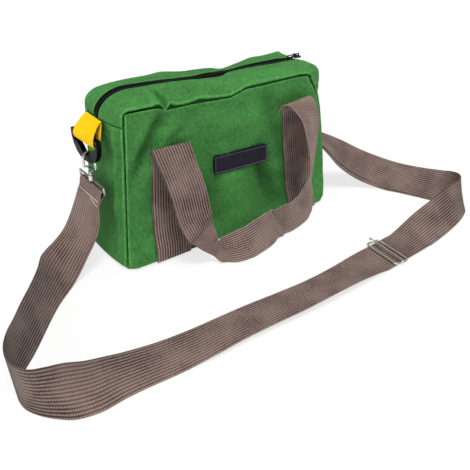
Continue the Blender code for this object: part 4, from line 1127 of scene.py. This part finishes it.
# %% Front handle
handle_drop = 0.150
front_edges = [
    ((-0.387, 0.020, 0.985), (-0.225, 0.020, 0.985)), ((-0.387, 0.047, 1.008), (-0.225, 0.047, 1.008)),
    ((-0.384, 0.075, 0.970), (-0.222, 0.075, 0.970)), ((-0.367, 0.110, 0.833), (-0.206, 0.110, 0.820)),
    ((-0.346, 0.150, 0.650), (-0.186, 0.150, 0.655)), ((-0.332, 0.195, 0.440), (-0.176, 0.195, 0.440)),
    ((-0.319, 0.232, 0.335), (-0.172, 0.205, 0.410)), ((-0.306, 0.262, 0.268), (-0.173, 0.207, 0.382)),
    ((-0.278, 0.275, 0.210), (-0.176, 0.245, 0.305)), ((-0.245, 0.288, 0.143), (-0.179, 0.292, 0.240)),
    ((-0.190, 0.300, 0.048), (-0.182, 0.318, 0.222)), ((-0.168, 0.362, 0.010), (-0.170, 0.322, 0.234)),
    ((-0.142, 0.402, 0.010), (-0.130, 0.340, 0.262)), ((-0.112, 0.432, 0.010), (-0.088, 0.358, 0.285)),
    ((-0.060, 0.445, 0.010), (-0.052, 0.370, 0.308)), ((0.025, 0.425, 0.010), (0.022, 0.350, 0.325)),
    ((0.098, 0.382, 0.010), (0.086, 0.326, 0.330)), ((0.150, 0.330, 0.010), (0.110, 0.330, 0.318)),
    ((0.215, 0.325, 0.010), (0.172, 0.300, 0.315)),
    ((0.300, 0.290, 0.010), (0.225, 0.285, 0.300)), ((0.370, 0.250, 0.040), (0.272, 0.270, 0.345)),
    ((0.408, 0.190, 0.180), (0.305, 0.285, 0.435)), ((0.420, 0.130, 0.340), (0.322, 0.300, 0.560)),
    ((0.437, 0.105, 0.530), (0.309, 0.290, 0.710)), ((0.450, 0.095, 0.740), (0.300, 0.245, 0.875)),
    ((0.452, 0.090, 0.900), (0.288, 0.200, 1.010)), ((0.440, 0.075, 1.020), (0.268, 0.120, 1.095)),
    ((0.424, 0.068, 1.100), (0.252, 0.085, 1.125)), ((0.400, 0.045, 1.150), (0.237, 0.045, 1.110)),
    ((0.397, 0.020, 1.115), (0.235, 0.020, 1.060)),
]


def shares_to_points(edges, side):
    """Shares of the bag's length along it, and of the handle's drop outward and upward, as points."""
    values = np.array(edges, float)
    return np.stack([values[..., 0] * bag_length, side * (half_depth + values[..., 1] * handle_drop),
                     values[..., 2] * handle_drop], -1)


front_pairs = shares_to_points(front_edges, -1).reshape(-1, 6)
handle_folds = [(10.3, 0.10, 0.0036, 0.0036), (11.3, 0.10, -0.0020, 0.0050), (7.6, 0.0, -0.0022, 0.0045),
                (8.6, 0.0, 0.0016, 0.0050), (16.4, 0.45, 0.0026, 0.0034), (17.2, 0.45, -0.0014, 0.0050),
                (20.2, 0.2, 0.0016, 0.0050), (14.0, 0.3, 0.0010, 0.0070)]
front_handle = band("front_handle_webbing", front_pairs, taupe_webbing, "front_grip", folds=handle_folds)
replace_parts(front_handle, "front_handle")
print("front handle:", len(front_handle.data.polygons), "faces")

# %% Rear handle
rear_half = [(0.328, 0.020, 0.985, 0.0), (0.328, 0.047, 1.008, 0.0), (0.328, 0.070, 0.970, 0.0),
             (0.326, 0.080, 0.700, 0.0), (0.322, 0.085, 0.450, 0.06), (0.300, 0.090, 0.290, 0.30),
             (0.240, 0.095, 0.200, 0.72), (0.150, 0.098, 0.175, 0.96), (0.0, 0.100, 0.170, 1.0)]
other_half = [(-x, out, z, 2 - turned) for x, out, z, turned in reversed(rear_half[:-1])]
rear_whole = np.array(rear_half + other_half)
middle = shares_to_points(rear_whole[:, :3], 1)
angle = rear_whole[:, 3] * math.pi / 2
across = np.stack([np.cos(angle), 0 * angle, -np.sin(angle)], -1) * web_width / 2
rear_pairs = np.concatenate([middle + across, middle - across], axis=1)
rear_handle = band("rear_handle_webbing", rear_pairs, taupe_webbing, "rear_grip")
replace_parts(rear_handle, "rear_handle")
print("rear handle:", len(rear_handle.data.polygons), "faces")

# %% [markdown]
# ## Shoulder strap
# A long length of the same webbing. It hangs from the left loop, twists down to the floor, turns back on its
# edge, lies along the front and through the wire slider, and climbs to the right loop as a double layer,
# because its end comes back to the slider. Its route is a table of places read off the photograph.

# %% Strap route
# Each place is along the bag in shares of its length, beyond that and to the back in webbing widths, and
# lifted in shares of the loop bar's level. The last two are the turn of the webbing's width about the
# upright and its lean from flat, in shares of a right angle.
loop_bar_level = 0.0985
route = np.array([
    (-0.5, -0.62, -0.010, 0.60, 1.21, 0.02), (-0.5, -0.84, -0.068, 0.41, 1.27, 0.04),
    (-0.5, -1.11, -0.152, 0.26, 1.31, 0.11), (-0.5, -1.38, -0.290, 0.12, 1.37, 0.26),
    (-0.5, -1.62, -0.510, 0.02, 1.41, 0.47), (-0.5, -1.82, -0.800, 0.0, 1.42, 0.64),
    (-0.5, -2.03, -1.114, 0.0, 1.43, 0.76), (-0.5, -2.26, -1.434, 0.0, 1.42, 0.81),
    (-0.5, -2.50, -1.758, 0.0, 1.41, 0.83), (-0.5, -2.74, -2.080, 0.0, 1.40, 0.84),
    (-0.5, -2.97, -2.394, 0.0, 1.38, 0.87), (-0.5, -3.21, -2.692, 0.0, 1.30, 0.90),
    (-0.5, -3.38, -2.990, 0.0, 1.15, 0.93), (-0.5, -3.45, -3.300, 0.0, 0.98, 0.95),
    (-0.5, -3.41, -3.600, 0.0, 0.86, 0.94), (-0.5, -3.25, -3.840, 0.0, 0.80, 0.90),
    (-0.5, -3.02, -3.990, 0.0, 0.82, 0.78), (-0.5, -2.72, -4.060, 0.0, 0.87, 0.55),
    (-0.5, -2.32, -4.050, 0.0, 0.93, 0.30), (-0.5, -1.86, -3.990, 0.0, 0.98, 0.14),
    (-0.5, -1.42, -4.000, 0.0, 1.0, 0.06), (-0.5, -0.74, -4.054, 0.0, 1.0, 0.0),
    (-0.5, 0.0, -4.134, 0.0, 1.0, -0.06), (-0.385, 0.0, -4.160, 0.0, 1.0, -0.09),
    (-0.254, 0.0, -4.200, 0.0, 1.0, -0.10), (-0.120, 0.0, -4.270, 0.0, 1.0, -0.12),
    (0.021, 0.0, -4.320, 0.0, 1.0, -0.15), (0.164, 0.0, -4.310, 0.0, 1.0, -0.13),
    (0.290, 0.0, -4.260, 0.0, 1.0, -0.05), (0.360, 0.0, -4.240, 0.0, 0.97, 0.0),
    (0.440, 0.0, -4.224, 0.0, 0.94, 0.0), (0.5, 0.16, -4.200, 0.0, 0.95, 0.0),
    (0.5, 0.50, -4.185, 0.0, 1.0, 0.0), (0.5, 0.90, -4.178, 0.0, 1.02, 0.08),
    (0.5, 1.43, -4.160, 0.0, 1.07, 0.22), (0.5, 2.07, -4.104, 0.0, 1.12, 0.33),
    (0.5, 2.71, -4.036, 0.0, 1.19, 0.48), (0.5, 3.27, -3.960, 0.0, 1.28, 0.68),
    (0.5, 3.46, -3.870, 0.0, 1.20, 0.80), (0.5, 3.54, -3.720, 0.0, 0.91, 0.86),
    (0.5, 3.55, -3.530, 0.0, 0.50, 0.76), (0.5, 3.53, -3.290, 0.0, 0.26, 0.64),
    (0.5, 3.50, -3.010, 0.0, 0.22, 0.52), (0.5, 3.33, -2.392, 0.0, 0.24, 0.41),
    (0.5, 3.07, -1.774, 0.0, 0.29, 0.39), (0.5, 2.70, -1.228, 0.07, 0.33, 0.37),
    (0.5, 2.21, -0.800, 0.21, 0.41, 0.34), (0.5, 1.64, -0.478, 0.42, 0.52, 0.29),
    (0.5, 1.10, -0.250, 0.65, 0.68, 0.17),
])
along, beyond, back, lift, turned, lean = route.T
azimuth, rise = turned * math.pi / 2, lean * math.pi / 2
across = np.stack([np.cos(rise) * np.cos(azimuth), np.cos(rise) * np.sin(azimuth), np.sin(rise)], -1)
across *= web_width / 2
# From the layer row on, a second layer lies under the first, which stands higher by that layer and its gap.
row, layer_row, layer_rise = np.arange(len(route)), 33, 2.1
doubled = ease(row, layer_row - 1, layer_row + 1)
stand = np.abs(across[:, 2]) + (1 + layer_rise * doubled) * web / 2 * np.cos(rise) + fit_gap
centres = np.stack([along * bag_length + beyond * web_width, back * web_width,
                    stand + lift * loop_bar_level], -1)
print("strap route:", round(float(np.linalg.norm(np.diff(centres, axis=0), axis=1).sum()), 2), "m")

# %% Places of the end hardware
ring_yaw, hardware_back, ring_out, ring_bar_level = 0.08, 0.004, 0.014, 0.160
neck_level, loop_lean, loop_wire = 0.1119, 0.085, 0.0015


def end_place(end, out, across, up):
    """Hardware places given out from the end canvas, across and up: turned a little about
    the tab below the joint seam, and mirrored on the right. The strap's loop hangs lower in front."""
    out, across, up = (np.asarray(v, float) for v in (out, across, up))
    angle = ring_yaw * np.clip((joint_height - up) / (joint_height - ring_bar_level), 0, 1)
    past = out - ring_out
    turned_out = ring_out + past * np.cos(angle) + across * np.sin(angle)
    behind = hardware_back + across * np.cos(angle) - past * np.sin(angle)
    up = up + across * np.where(up < neck_level, loop_lean, 0)
    return np.stack(np.broadcast_arrays(end * (half_length + turned_out), behind, up), -1)


print("left ring's bar at", end_place(-1, ring_out, 0, ring_bar_level).round(4))


# %% Turns over the loops
def turn_frame(end, toward):
    """Middle of the loop's lower bar, half the band's width along it, the way the band leaves it, and the
    direction across the band away from the bag."""
    bar = end_place(end, ring_out, 0, loop_bar_level)
    side = end_place(end, ring_out, web_width / 2, loop_bar_level) - bar
    along, run = unit(side), toward - bar
    run = unit(run - along * (run @ along))
    out = np.cross(along, run)
    return bar, side, run, out * (1 if out[0] * end > 0 else -1)


turn_tail = 0.014


def strap_turn(end, toward):
    """The webbing's turn over a loop's lower bar: down one side, round the bar, and down the other."""
    bar, side, run, out = turn_frame(end, toward)
    near, far = (web + fit_gap) / 2, loop_wire + 2 * fit_gap + web / 2
    angles = np.linspace(math.pi / 8, math.pi * 7 / 8, 7)
    line = [(-near, turn_tail), (-near, turn_tail * 0.6), (-far, web)]
    line += [(-far * math.cos(a), -far * math.sin(a)) for a in angles]
    line += [(far, web), (near, turn_tail * 0.6), (near, turn_tail)]
    line = np.array(line)
    centre = bar + out * line[:, :1] + run * line[:, 1:]
    return np.concatenate([centre + side, centre - side], axis=1)


left_turn, right_turn = strap_turn(-1, centres[0]), strap_turn(1, centres[-1])
print("each turn has", len(left_turn), "pairs")

# %% Strap of two layers
layer_gap, slip_share, slip_rows = 1.04 * web, 0.30, (40, 47)
under = unit(np.cross(np.gradient(centres, axis=0), across))
under *= np.sign(under[-1, 0]) * layer_gap
slip = -slip_share * across * ease(row, *slip_rows)[:, None]
first_pairs = np.concatenate([centres + slip + across, centres + slip - across], axis=1)
second_pairs = np.concatenate([centres + under + across, centres + under - across], axis=1)[layer_row:]
whole = np.concatenate([left_turn, first_pairs, right_turn, second_pairs[::-1]])
shoulder = band("shoulder_strap_webbing", whole, shaded_strap_webbing, "bag", step=0.0030)
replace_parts(shoulder, "shoulder_strap")
print("the second layer lies", (-under[layer_row:layer_row + 3, 2] * 1000).round(1), "mm below the first")
print("strap:", len(shoulder.data.polygons), "faces")

# %% [markdown]
# ## Yellow tabs
# Each tab is a short folded length of bright yellow webbing, sewn into the joint seam at its top. The fold
# holds the ring's bar. It is pressed rather flat and is narrower at the seam. It is made as one band that
# runs down the outside, round the bar and back up along the canvas.

# %% Tabs
tab_width, tab_shift, tab_taper = 0.046, 0.0014, 0.13
tab_line = np.array([
    (0.0018, 0.1800), (0.0042, 0.1787), (0.0076, 0.1758), (0.0108, 0.1718), (0.0140, 0.1678),
    (0.0163, 0.1640), (0.0176, 0.1600), (0.0178, 0.1564), (0.0165, 0.1538), (0.0138, 0.1529),
    (0.0110, 0.1540), (0.0096, 0.1568), (0.0084, 0.1610), (0.0068, 0.1655), (0.0050, 0.1700),
    (0.0034, 0.1745), (0.0022, 0.1780)])
tab_lean = np.interp(tab_line[:, 0], [0.002, 0.018], [0.0, 0.0010])


def tab(end, name):
    """Pairs of edge points along the fold, in the places of the hardware, so that it keeps to its ring."""
    width = tab_width * (1 - tab_taper * ease(tab_line[:, 1], 0.158, 0.180))
    edges = [end_place(end, tab_line[:, 0], shift * width - tab_shift, tab_line[:, 1] + shift * tab_lean)
             for shift in (0.5 * end, -0.5 * end)]
    pairs = np.concatenate(edges, axis=1)
    return band(name + "_webbing", pairs, yellow_webbing, "bag", tab_ribs, step=0.0009, ripple=0.00016)


for end, end_name in ends:
    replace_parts(tab(end, end_name + "_tab"), end_name + "_tab")
print("tabs:", tab_width, "m wide")

# %% [markdown]
# ## Bare plate
# A thin dark vinyl plate sits on the front, tilted a little. It is left bare, apart from its raised rim and
# one upright line near its right end. Its gloss varies with a fine grain.

# %% Plate
plate_vinyl = moulded("dark vinyl plate", (0.006, 0.005, 0.012), (0.016, 0.013, 0.028), 0.38, grain=420.0,
                      depth=0.00003, gloss_level=0.16)
plate_length, plate_height, plate_thickness, plate_gap = 0.088, 0.025, 0.0012, 0.0004
plate_place, plate_level, plate_slope = 0.0145, 0.1088, -0.020
rim_depth, line_place, line_width = 0.0007, 0.0375, 0.0005


def rim_places(length, rim, count):
    """Places from edge to edge, close together over both rims and even between them."""
    rim = np.array(rim)
    middle = np.linspace(rim[-1], length - rim[-1], count)
    return np.concatenate([rim[:-1], middle, length - rim[-2::-1]]) - length / 2


def plate_points(a, b, lift):
    """Places on the front for the plate's own two measures, at a lift off the highest canvas under it."""
    out = -(half_depth + seat + plate_gap + lift)
    return slump(np.stack(np.broadcast_arrays(a + plate_place, out, b + plate_level + plate_slope * a), -1))


u = rim_places(plate_length, (0, 0.0004, 0.0008, 0.0024, 0.0030, 0.004), 41)
v = rim_places(plate_height, (0, 0.0004, 0.0008, 0.0018, 0.0022, 0.003), 14)
a, b = np.meshgrid(u, v)
edge = np.minimum(plate_length / 2 - np.abs(a), plate_height / 2 - np.abs(b))
raised = plate_thickness * ease(edge, -0.0003, 0.0006) - rim_depth * ease(edge, 0.0016, 0.0022)
raised += rim_depth * bell(a, line_place, line_width) * ease(edge, 0.001, 0.003)
seat = np.max(face_out(a + plate_place, b + plate_level + plate_slope * a, -1))
outward = np.array((0, -1.0, 0))
plate = sheet("bare_plate", plate_points(a, b, raised), np.stack([a, b], -1), plate_vinyl, "bag", outward,
              0.0010 + seat)
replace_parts(plate, "label_plate")
print("plate", plate_length, "by", plate_height)

# %% [markdown]
# ## Threads
# Rows of stitches hold the seams: green thread along the zip's hems and below the joint seams, taupe and pale
# thread on the webbing, and dark thread round the plate. A stitch is one small block, so a row of a hundred
# costs little.

# %% Threads
def thread(name, dark, light):
    """Spun thread: close in colour to what it holds, matt and fine in its grain."""
    return moulded(name, dark, light, 0.7, grain=1500.0, depth=0.00005)


green_thread = thread("green thread", (0.050, 0.200, 0.050), (0.140, 0.380, 0.110))
pale_thread = thread("pale thread", (0.380, 0.340, 0.300), (0.700, 0.660, 0.600))
taupe_thread = thread("taupe thread", (0.240, 0.180, 0.160), (0.480, 0.390, 0.350))
plate_thread = thread("plate thread", (0.060, 0.060, 0.085), (0.170, 0.170, 0.220))
threads = (green_thread, pale_thread, taupe_thread, plate_thread)
print("threads:", ", ".join(made.name for made in threads))


# %% Rows of stitches
reading_gap, stitch_pitch, stitch_size = 0.0008, 0.0032, (0.0023, 0.0006, 0.0005)


def stitches(name, line, out, material, body, pitch=stitch_pitch, size=stitch_size):
    """Blocks at every pitch along a line of points. Out is the direction straight off the cloth at each
    point. A block lies along the line from the reading gap before its middle to the same after it."""
    length = np.concatenate([[0], np.cumsum(np.linalg.norm(np.diff(line, axis=0), axis=1))])
    at = np.arange(pitch / 2, length[-1], pitch)
    ahead, behind = (at_lengths(line, length, at + shift) for shift in (reading_gap, -reading_gap))
    along = unit(ahead - behind)
    away = unit(at_lengths(np.broadcast_to(out, line.shape), length, at))
    across = unit(np.cross(away, along))
    away = unit(np.cross(along, across))
    return repeat(name, at_lengths(line, length, at), along, across, away, size, material, body)


print("a stitch is", stitch_size[0], "m long, and one starts every", stitch_pitch, "m")

# %% Stitches of the canvas
hem_inset, joint_drops, joint_reach = 0.0026, (0.0046, 0.0066), 0.045
for end, end_name in ends:
    for side, side_name in sides:
        cut = cut_lines[side](top_profile(end, np.zeros(1))[0])
        grid, normals, _, _ = top_point(end, side, cut + hem_inset, 0.0001)
        name = f"{side_name}_{end_name}_hem_stitches"
        bends(stitches(name, grid[:, 0], normals[:, 0], green_thread, None))
    y = np.linspace(-joint_reach, joint_reach, 60)
    for row, drop in enumerate(joint_drops):
        line = end_point(y, np.full_like(y, joint_height - drop), end, 0.0002)
        stitches(f"{end_name}_joint_stitches_{row + 1}", line, np.array((end, 0.0, 0.0)), green_thread, "bag")
print("stitches so far:", blocks_in("stitches"))

# %% Stitches of the webbing
fold_pitch, fold_size, fold_lift = 0.0030, (0.0026, 0.0009, 0.0006), 0.0004
cross_drop, cross_share, tail_drop, tail_slant = 0.0115, 0.92, 0.0135, 0.0035
bar, side, run, out = turn_frame(-1, centres[0])
front_way = -np.sign(side[1])
start = bar + out * (web + fold_lift)
cross_line = start + run * cross_drop + side * np.linspace(-cross_share, cross_share, 30)[:, None]
t = np.linspace(0, 1, 12)[:, None]
tail_line = start + run * (tail_drop + tail_slant * t) + side * front_way * (0.25 + 0.65 * t)
stitches("left_fold_stitches", cross_line, out, pale_thread, "bag", fold_pitch, fold_size)
stitches("left_fold_tail_stitches", tail_line, out, pale_thread, "bag", fold_pitch, fold_size)
strip_shift, strip_foot_gap, strip_head_gap = 0.0228, 0.006, 0.012
for name, (place, side, top) in strip_places.items():
    z = np.linspace(strip_foot_gap, top - strip_head_gap, 40)
    for row, shift in enumerate((-strip_shift, strip_shift)):
        line = strip_line(place, side, z, strip_gap + web) + np.array((shift, 0, 0))
        stitches(f"{name}_stitches_{row + 1}", line, np.array((0.0, side, 0.0)), taupe_thread, "bag", 0.0036)
print("stitches so far:", blocks_in("stitches"))

# %% Stitches of the plate
inset = 0.0021
corners = np.array([(-1, -1), (1, -1), (1, 1), (-1, 1), (-1, -1)], float)
corners *= (plate_length / 2 - inset, plate_height / 2 - inset)
t = np.linspace(0, 4, 161)
thread_sunk, plate_stitch = 0.0003, (0.0022, 0.0006, 0.0008)
ring_a, ring_b = (np.interp(t, np.arange(5), corners[:, axis]) for axis in (0, 1))
line = plate_points(ring_a, ring_b, plate_thickness - thread_sunk)
stitches("plate_stitches", line, outward, plate_thread, "bag", 0.0026, plate_stitch)
print("stitches:", blocks_in("stitches"))

# %% [markdown]
# ## Metal and board
# The hooks, the loops and the strap's slider are bright steel, and the zip's slider is dark. Bright metal
# only looks like metal when its surface isn't perfect, so its gloss changes with a fine noise. The rings are
# black plastic, and the board inside the bag is plain grey fibreboard.

# %% Steel, ring plastic and board
def bright_steel(name, colour, roughness, shade=0.30):
    """Metal with a gloss that varies with noise. Polished wire shows dark bands where it turns away from the
    light; a wave on the height of the surface's own direction gives them."""
    material, tree, shader = new_material(name)
    coordinates = node(tree, "ShaderNodeTexCoord")
    place = coordinates.outputs["Object"]
    fine, broad = noise(tree, place, 500.0, 4.0), noise(tree, place, 90.0, 2.0)
    turned = node(tree, "ShaderNodeSeparateXYZ", {0: coordinates.outputs["Normal"]}).outputs["Z"]
    wobble = total(tree, turned, product(tree, broad, 0.35))
    wave = math_node(tree, "SINE", total(tree, product(tree, wobble, 5.2), 1.2), 0.0)
    banded = mix_colour(tree, spread(tree, wave, -0.9, 0.1), tuple(c * shade for c in colour), colour)
    gloss = spread(tree, fine, 0.0, 1.0, roughness - 0.06, roughness + 0.10)
    connect(tree, shader, {"Base Color": banded, "Roughness": gloss, "Metallic": 1.0,
                           "Normal": bump(tree, fine, 0.25, 0.00005)})
    return material


steel = bright_steel("bright steel", (0.80, 0.78, 0.75), 0.16)
wire_steel = bright_steel("bright wire", (0.92, 0.90, 0.87), 0.24, shade=0.62)
dark_metal = bright_steel("dark zip metal", (0.030, 0.026, 0.036), 0.30)
ring_plastic = moulded("ring plastic", (0.002, 0.0015, 0.004), (0.006, 0.005, 0.011), 0.30, gloss_level=0.07)
fibreboard = moulded("grey fibreboard", (0.20, 0.17, 0.13), (0.34, 0.29, 0.22), 0.85, grain=300.0,
                     depth=0.0002)
finishes = {"strap_adjuster": wire_steel, "adjuster_bar": wire_steel, "zip_slider": dark_metal,
            "zip_puller": dark_metal, "base_board": fibreboard}
for _, end_name in ends:
    finishes[f"{end_name}_ring"] = ring_plastic
    finishes.update({f"{end_name}_{part}": steel for part in ("hook", "gate", "strap_loop")})
for name, material in finishes.items():
    slots = frame["nodes"][name].data.materials
    slots.clear()
    slots.append(material)
print("solids with a new finish:", len(finishes))

# %% [markdown]
# ## Floor and light
# A white floor under an even white sky, with two broad soft lamps: one from above and a little in front,
# which makes the top brighter than the front, and a weaker one from the left. The floor is seen as plain
# white but still takes the bag's shadow.

# %% Floor
reach, floor_glow = 4.0, 0.74
floor_corners = [(-reach, -reach, 0), (reach, -reach, 0), (reach, reach, 0), (-reach, reach, 0)]
floor_mesh = bpy.data.meshes.new("floor")
floor_mesh.from_pydata(floor_corners, [], [(0, 1, 2, 3)])
floor = bpy.data.objects.new("floor", floor_mesh)
bpy.context.scene.collection.objects.link(floor)
paper, tree, shader = new_material("white floor")
connect(tree, shader, {"Base Color": (0.96, 0.96, 0.96, 1), "Roughness": 1.0, "Specular IOR Level": 0.0})
glow = node(tree, "ShaderNodeEmission", {"Color": (1, 1, 1, 1), "Strength": 1.0})
ray = node(tree, "ShaderNodeLightPath").outputs
watched = math_node(tree, "MAXIMUM", ray["Is Camera Ray"], ray["Is Glossy Ray"])
both = node(tree, "ShaderNodeMixShader", {0: product(tree, watched, floor_glow), 1: shader.outputs[0],
                                          2: glow.outputs[0]})
tree.links.new(both.outputs[0], tree.nodes["Material Output"].inputs["Surface"])
floor_mesh.materials.append(paper)
floor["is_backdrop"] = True
print("floor:", 2 * reach, "m wide")


# %% Lamps and sky
def sun(name, strength, direction, angle):
    """A far lamp. Its strength over pi is what a white surface facing it gives back."""
    data = bpy.data.lights.new(name, "SUN")
    data.energy = strength
    data.angle = math.radians(angle)
    lamp = bpy.data.objects.new(name, data)
    lamp.rotation_euler = Vector(direction).to_track_quat("-Z", "Y").to_euler()
    bpy.context.scene.collection.objects.link(lamp)


sun("key", 2.3, (0.06, 0.30, -1.0), 22)
sun("fill", 0.95, (0.97, 0.26, -0.20), 45)
sky_light = 0.36
world = bpy.data.worlds.new("sky")
bpy.context.scene.world = world
world.use_nodes = True
background = world.node_tree.nodes["Background"]
ray = node(world.node_tree, "ShaderNodeLightPath").outputs
plain = math_node(world.node_tree, "MAXIMUM", ray["Is Camera Ray"], ray["Is Transmission Ray"])
strength = spread(world.node_tree, plain, 0.0, 1.0, sky_light, 1.0)
connect(world.node_tree, background, {"Color": (1, 1, 1, 1), "Strength": strength})
bpy.context.scene.view_settings.view_transform = "Standard"
print("lamps: 2, sky strength", sky_light, "for the light and 1 for the view")

# %% Sizes and finish
dressed_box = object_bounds()
for box_name, box in (("solids", solid_box), ("dressed", dressed_box)):
    print(box_name, [[round(v, 3) for v in corner] for corner in box])
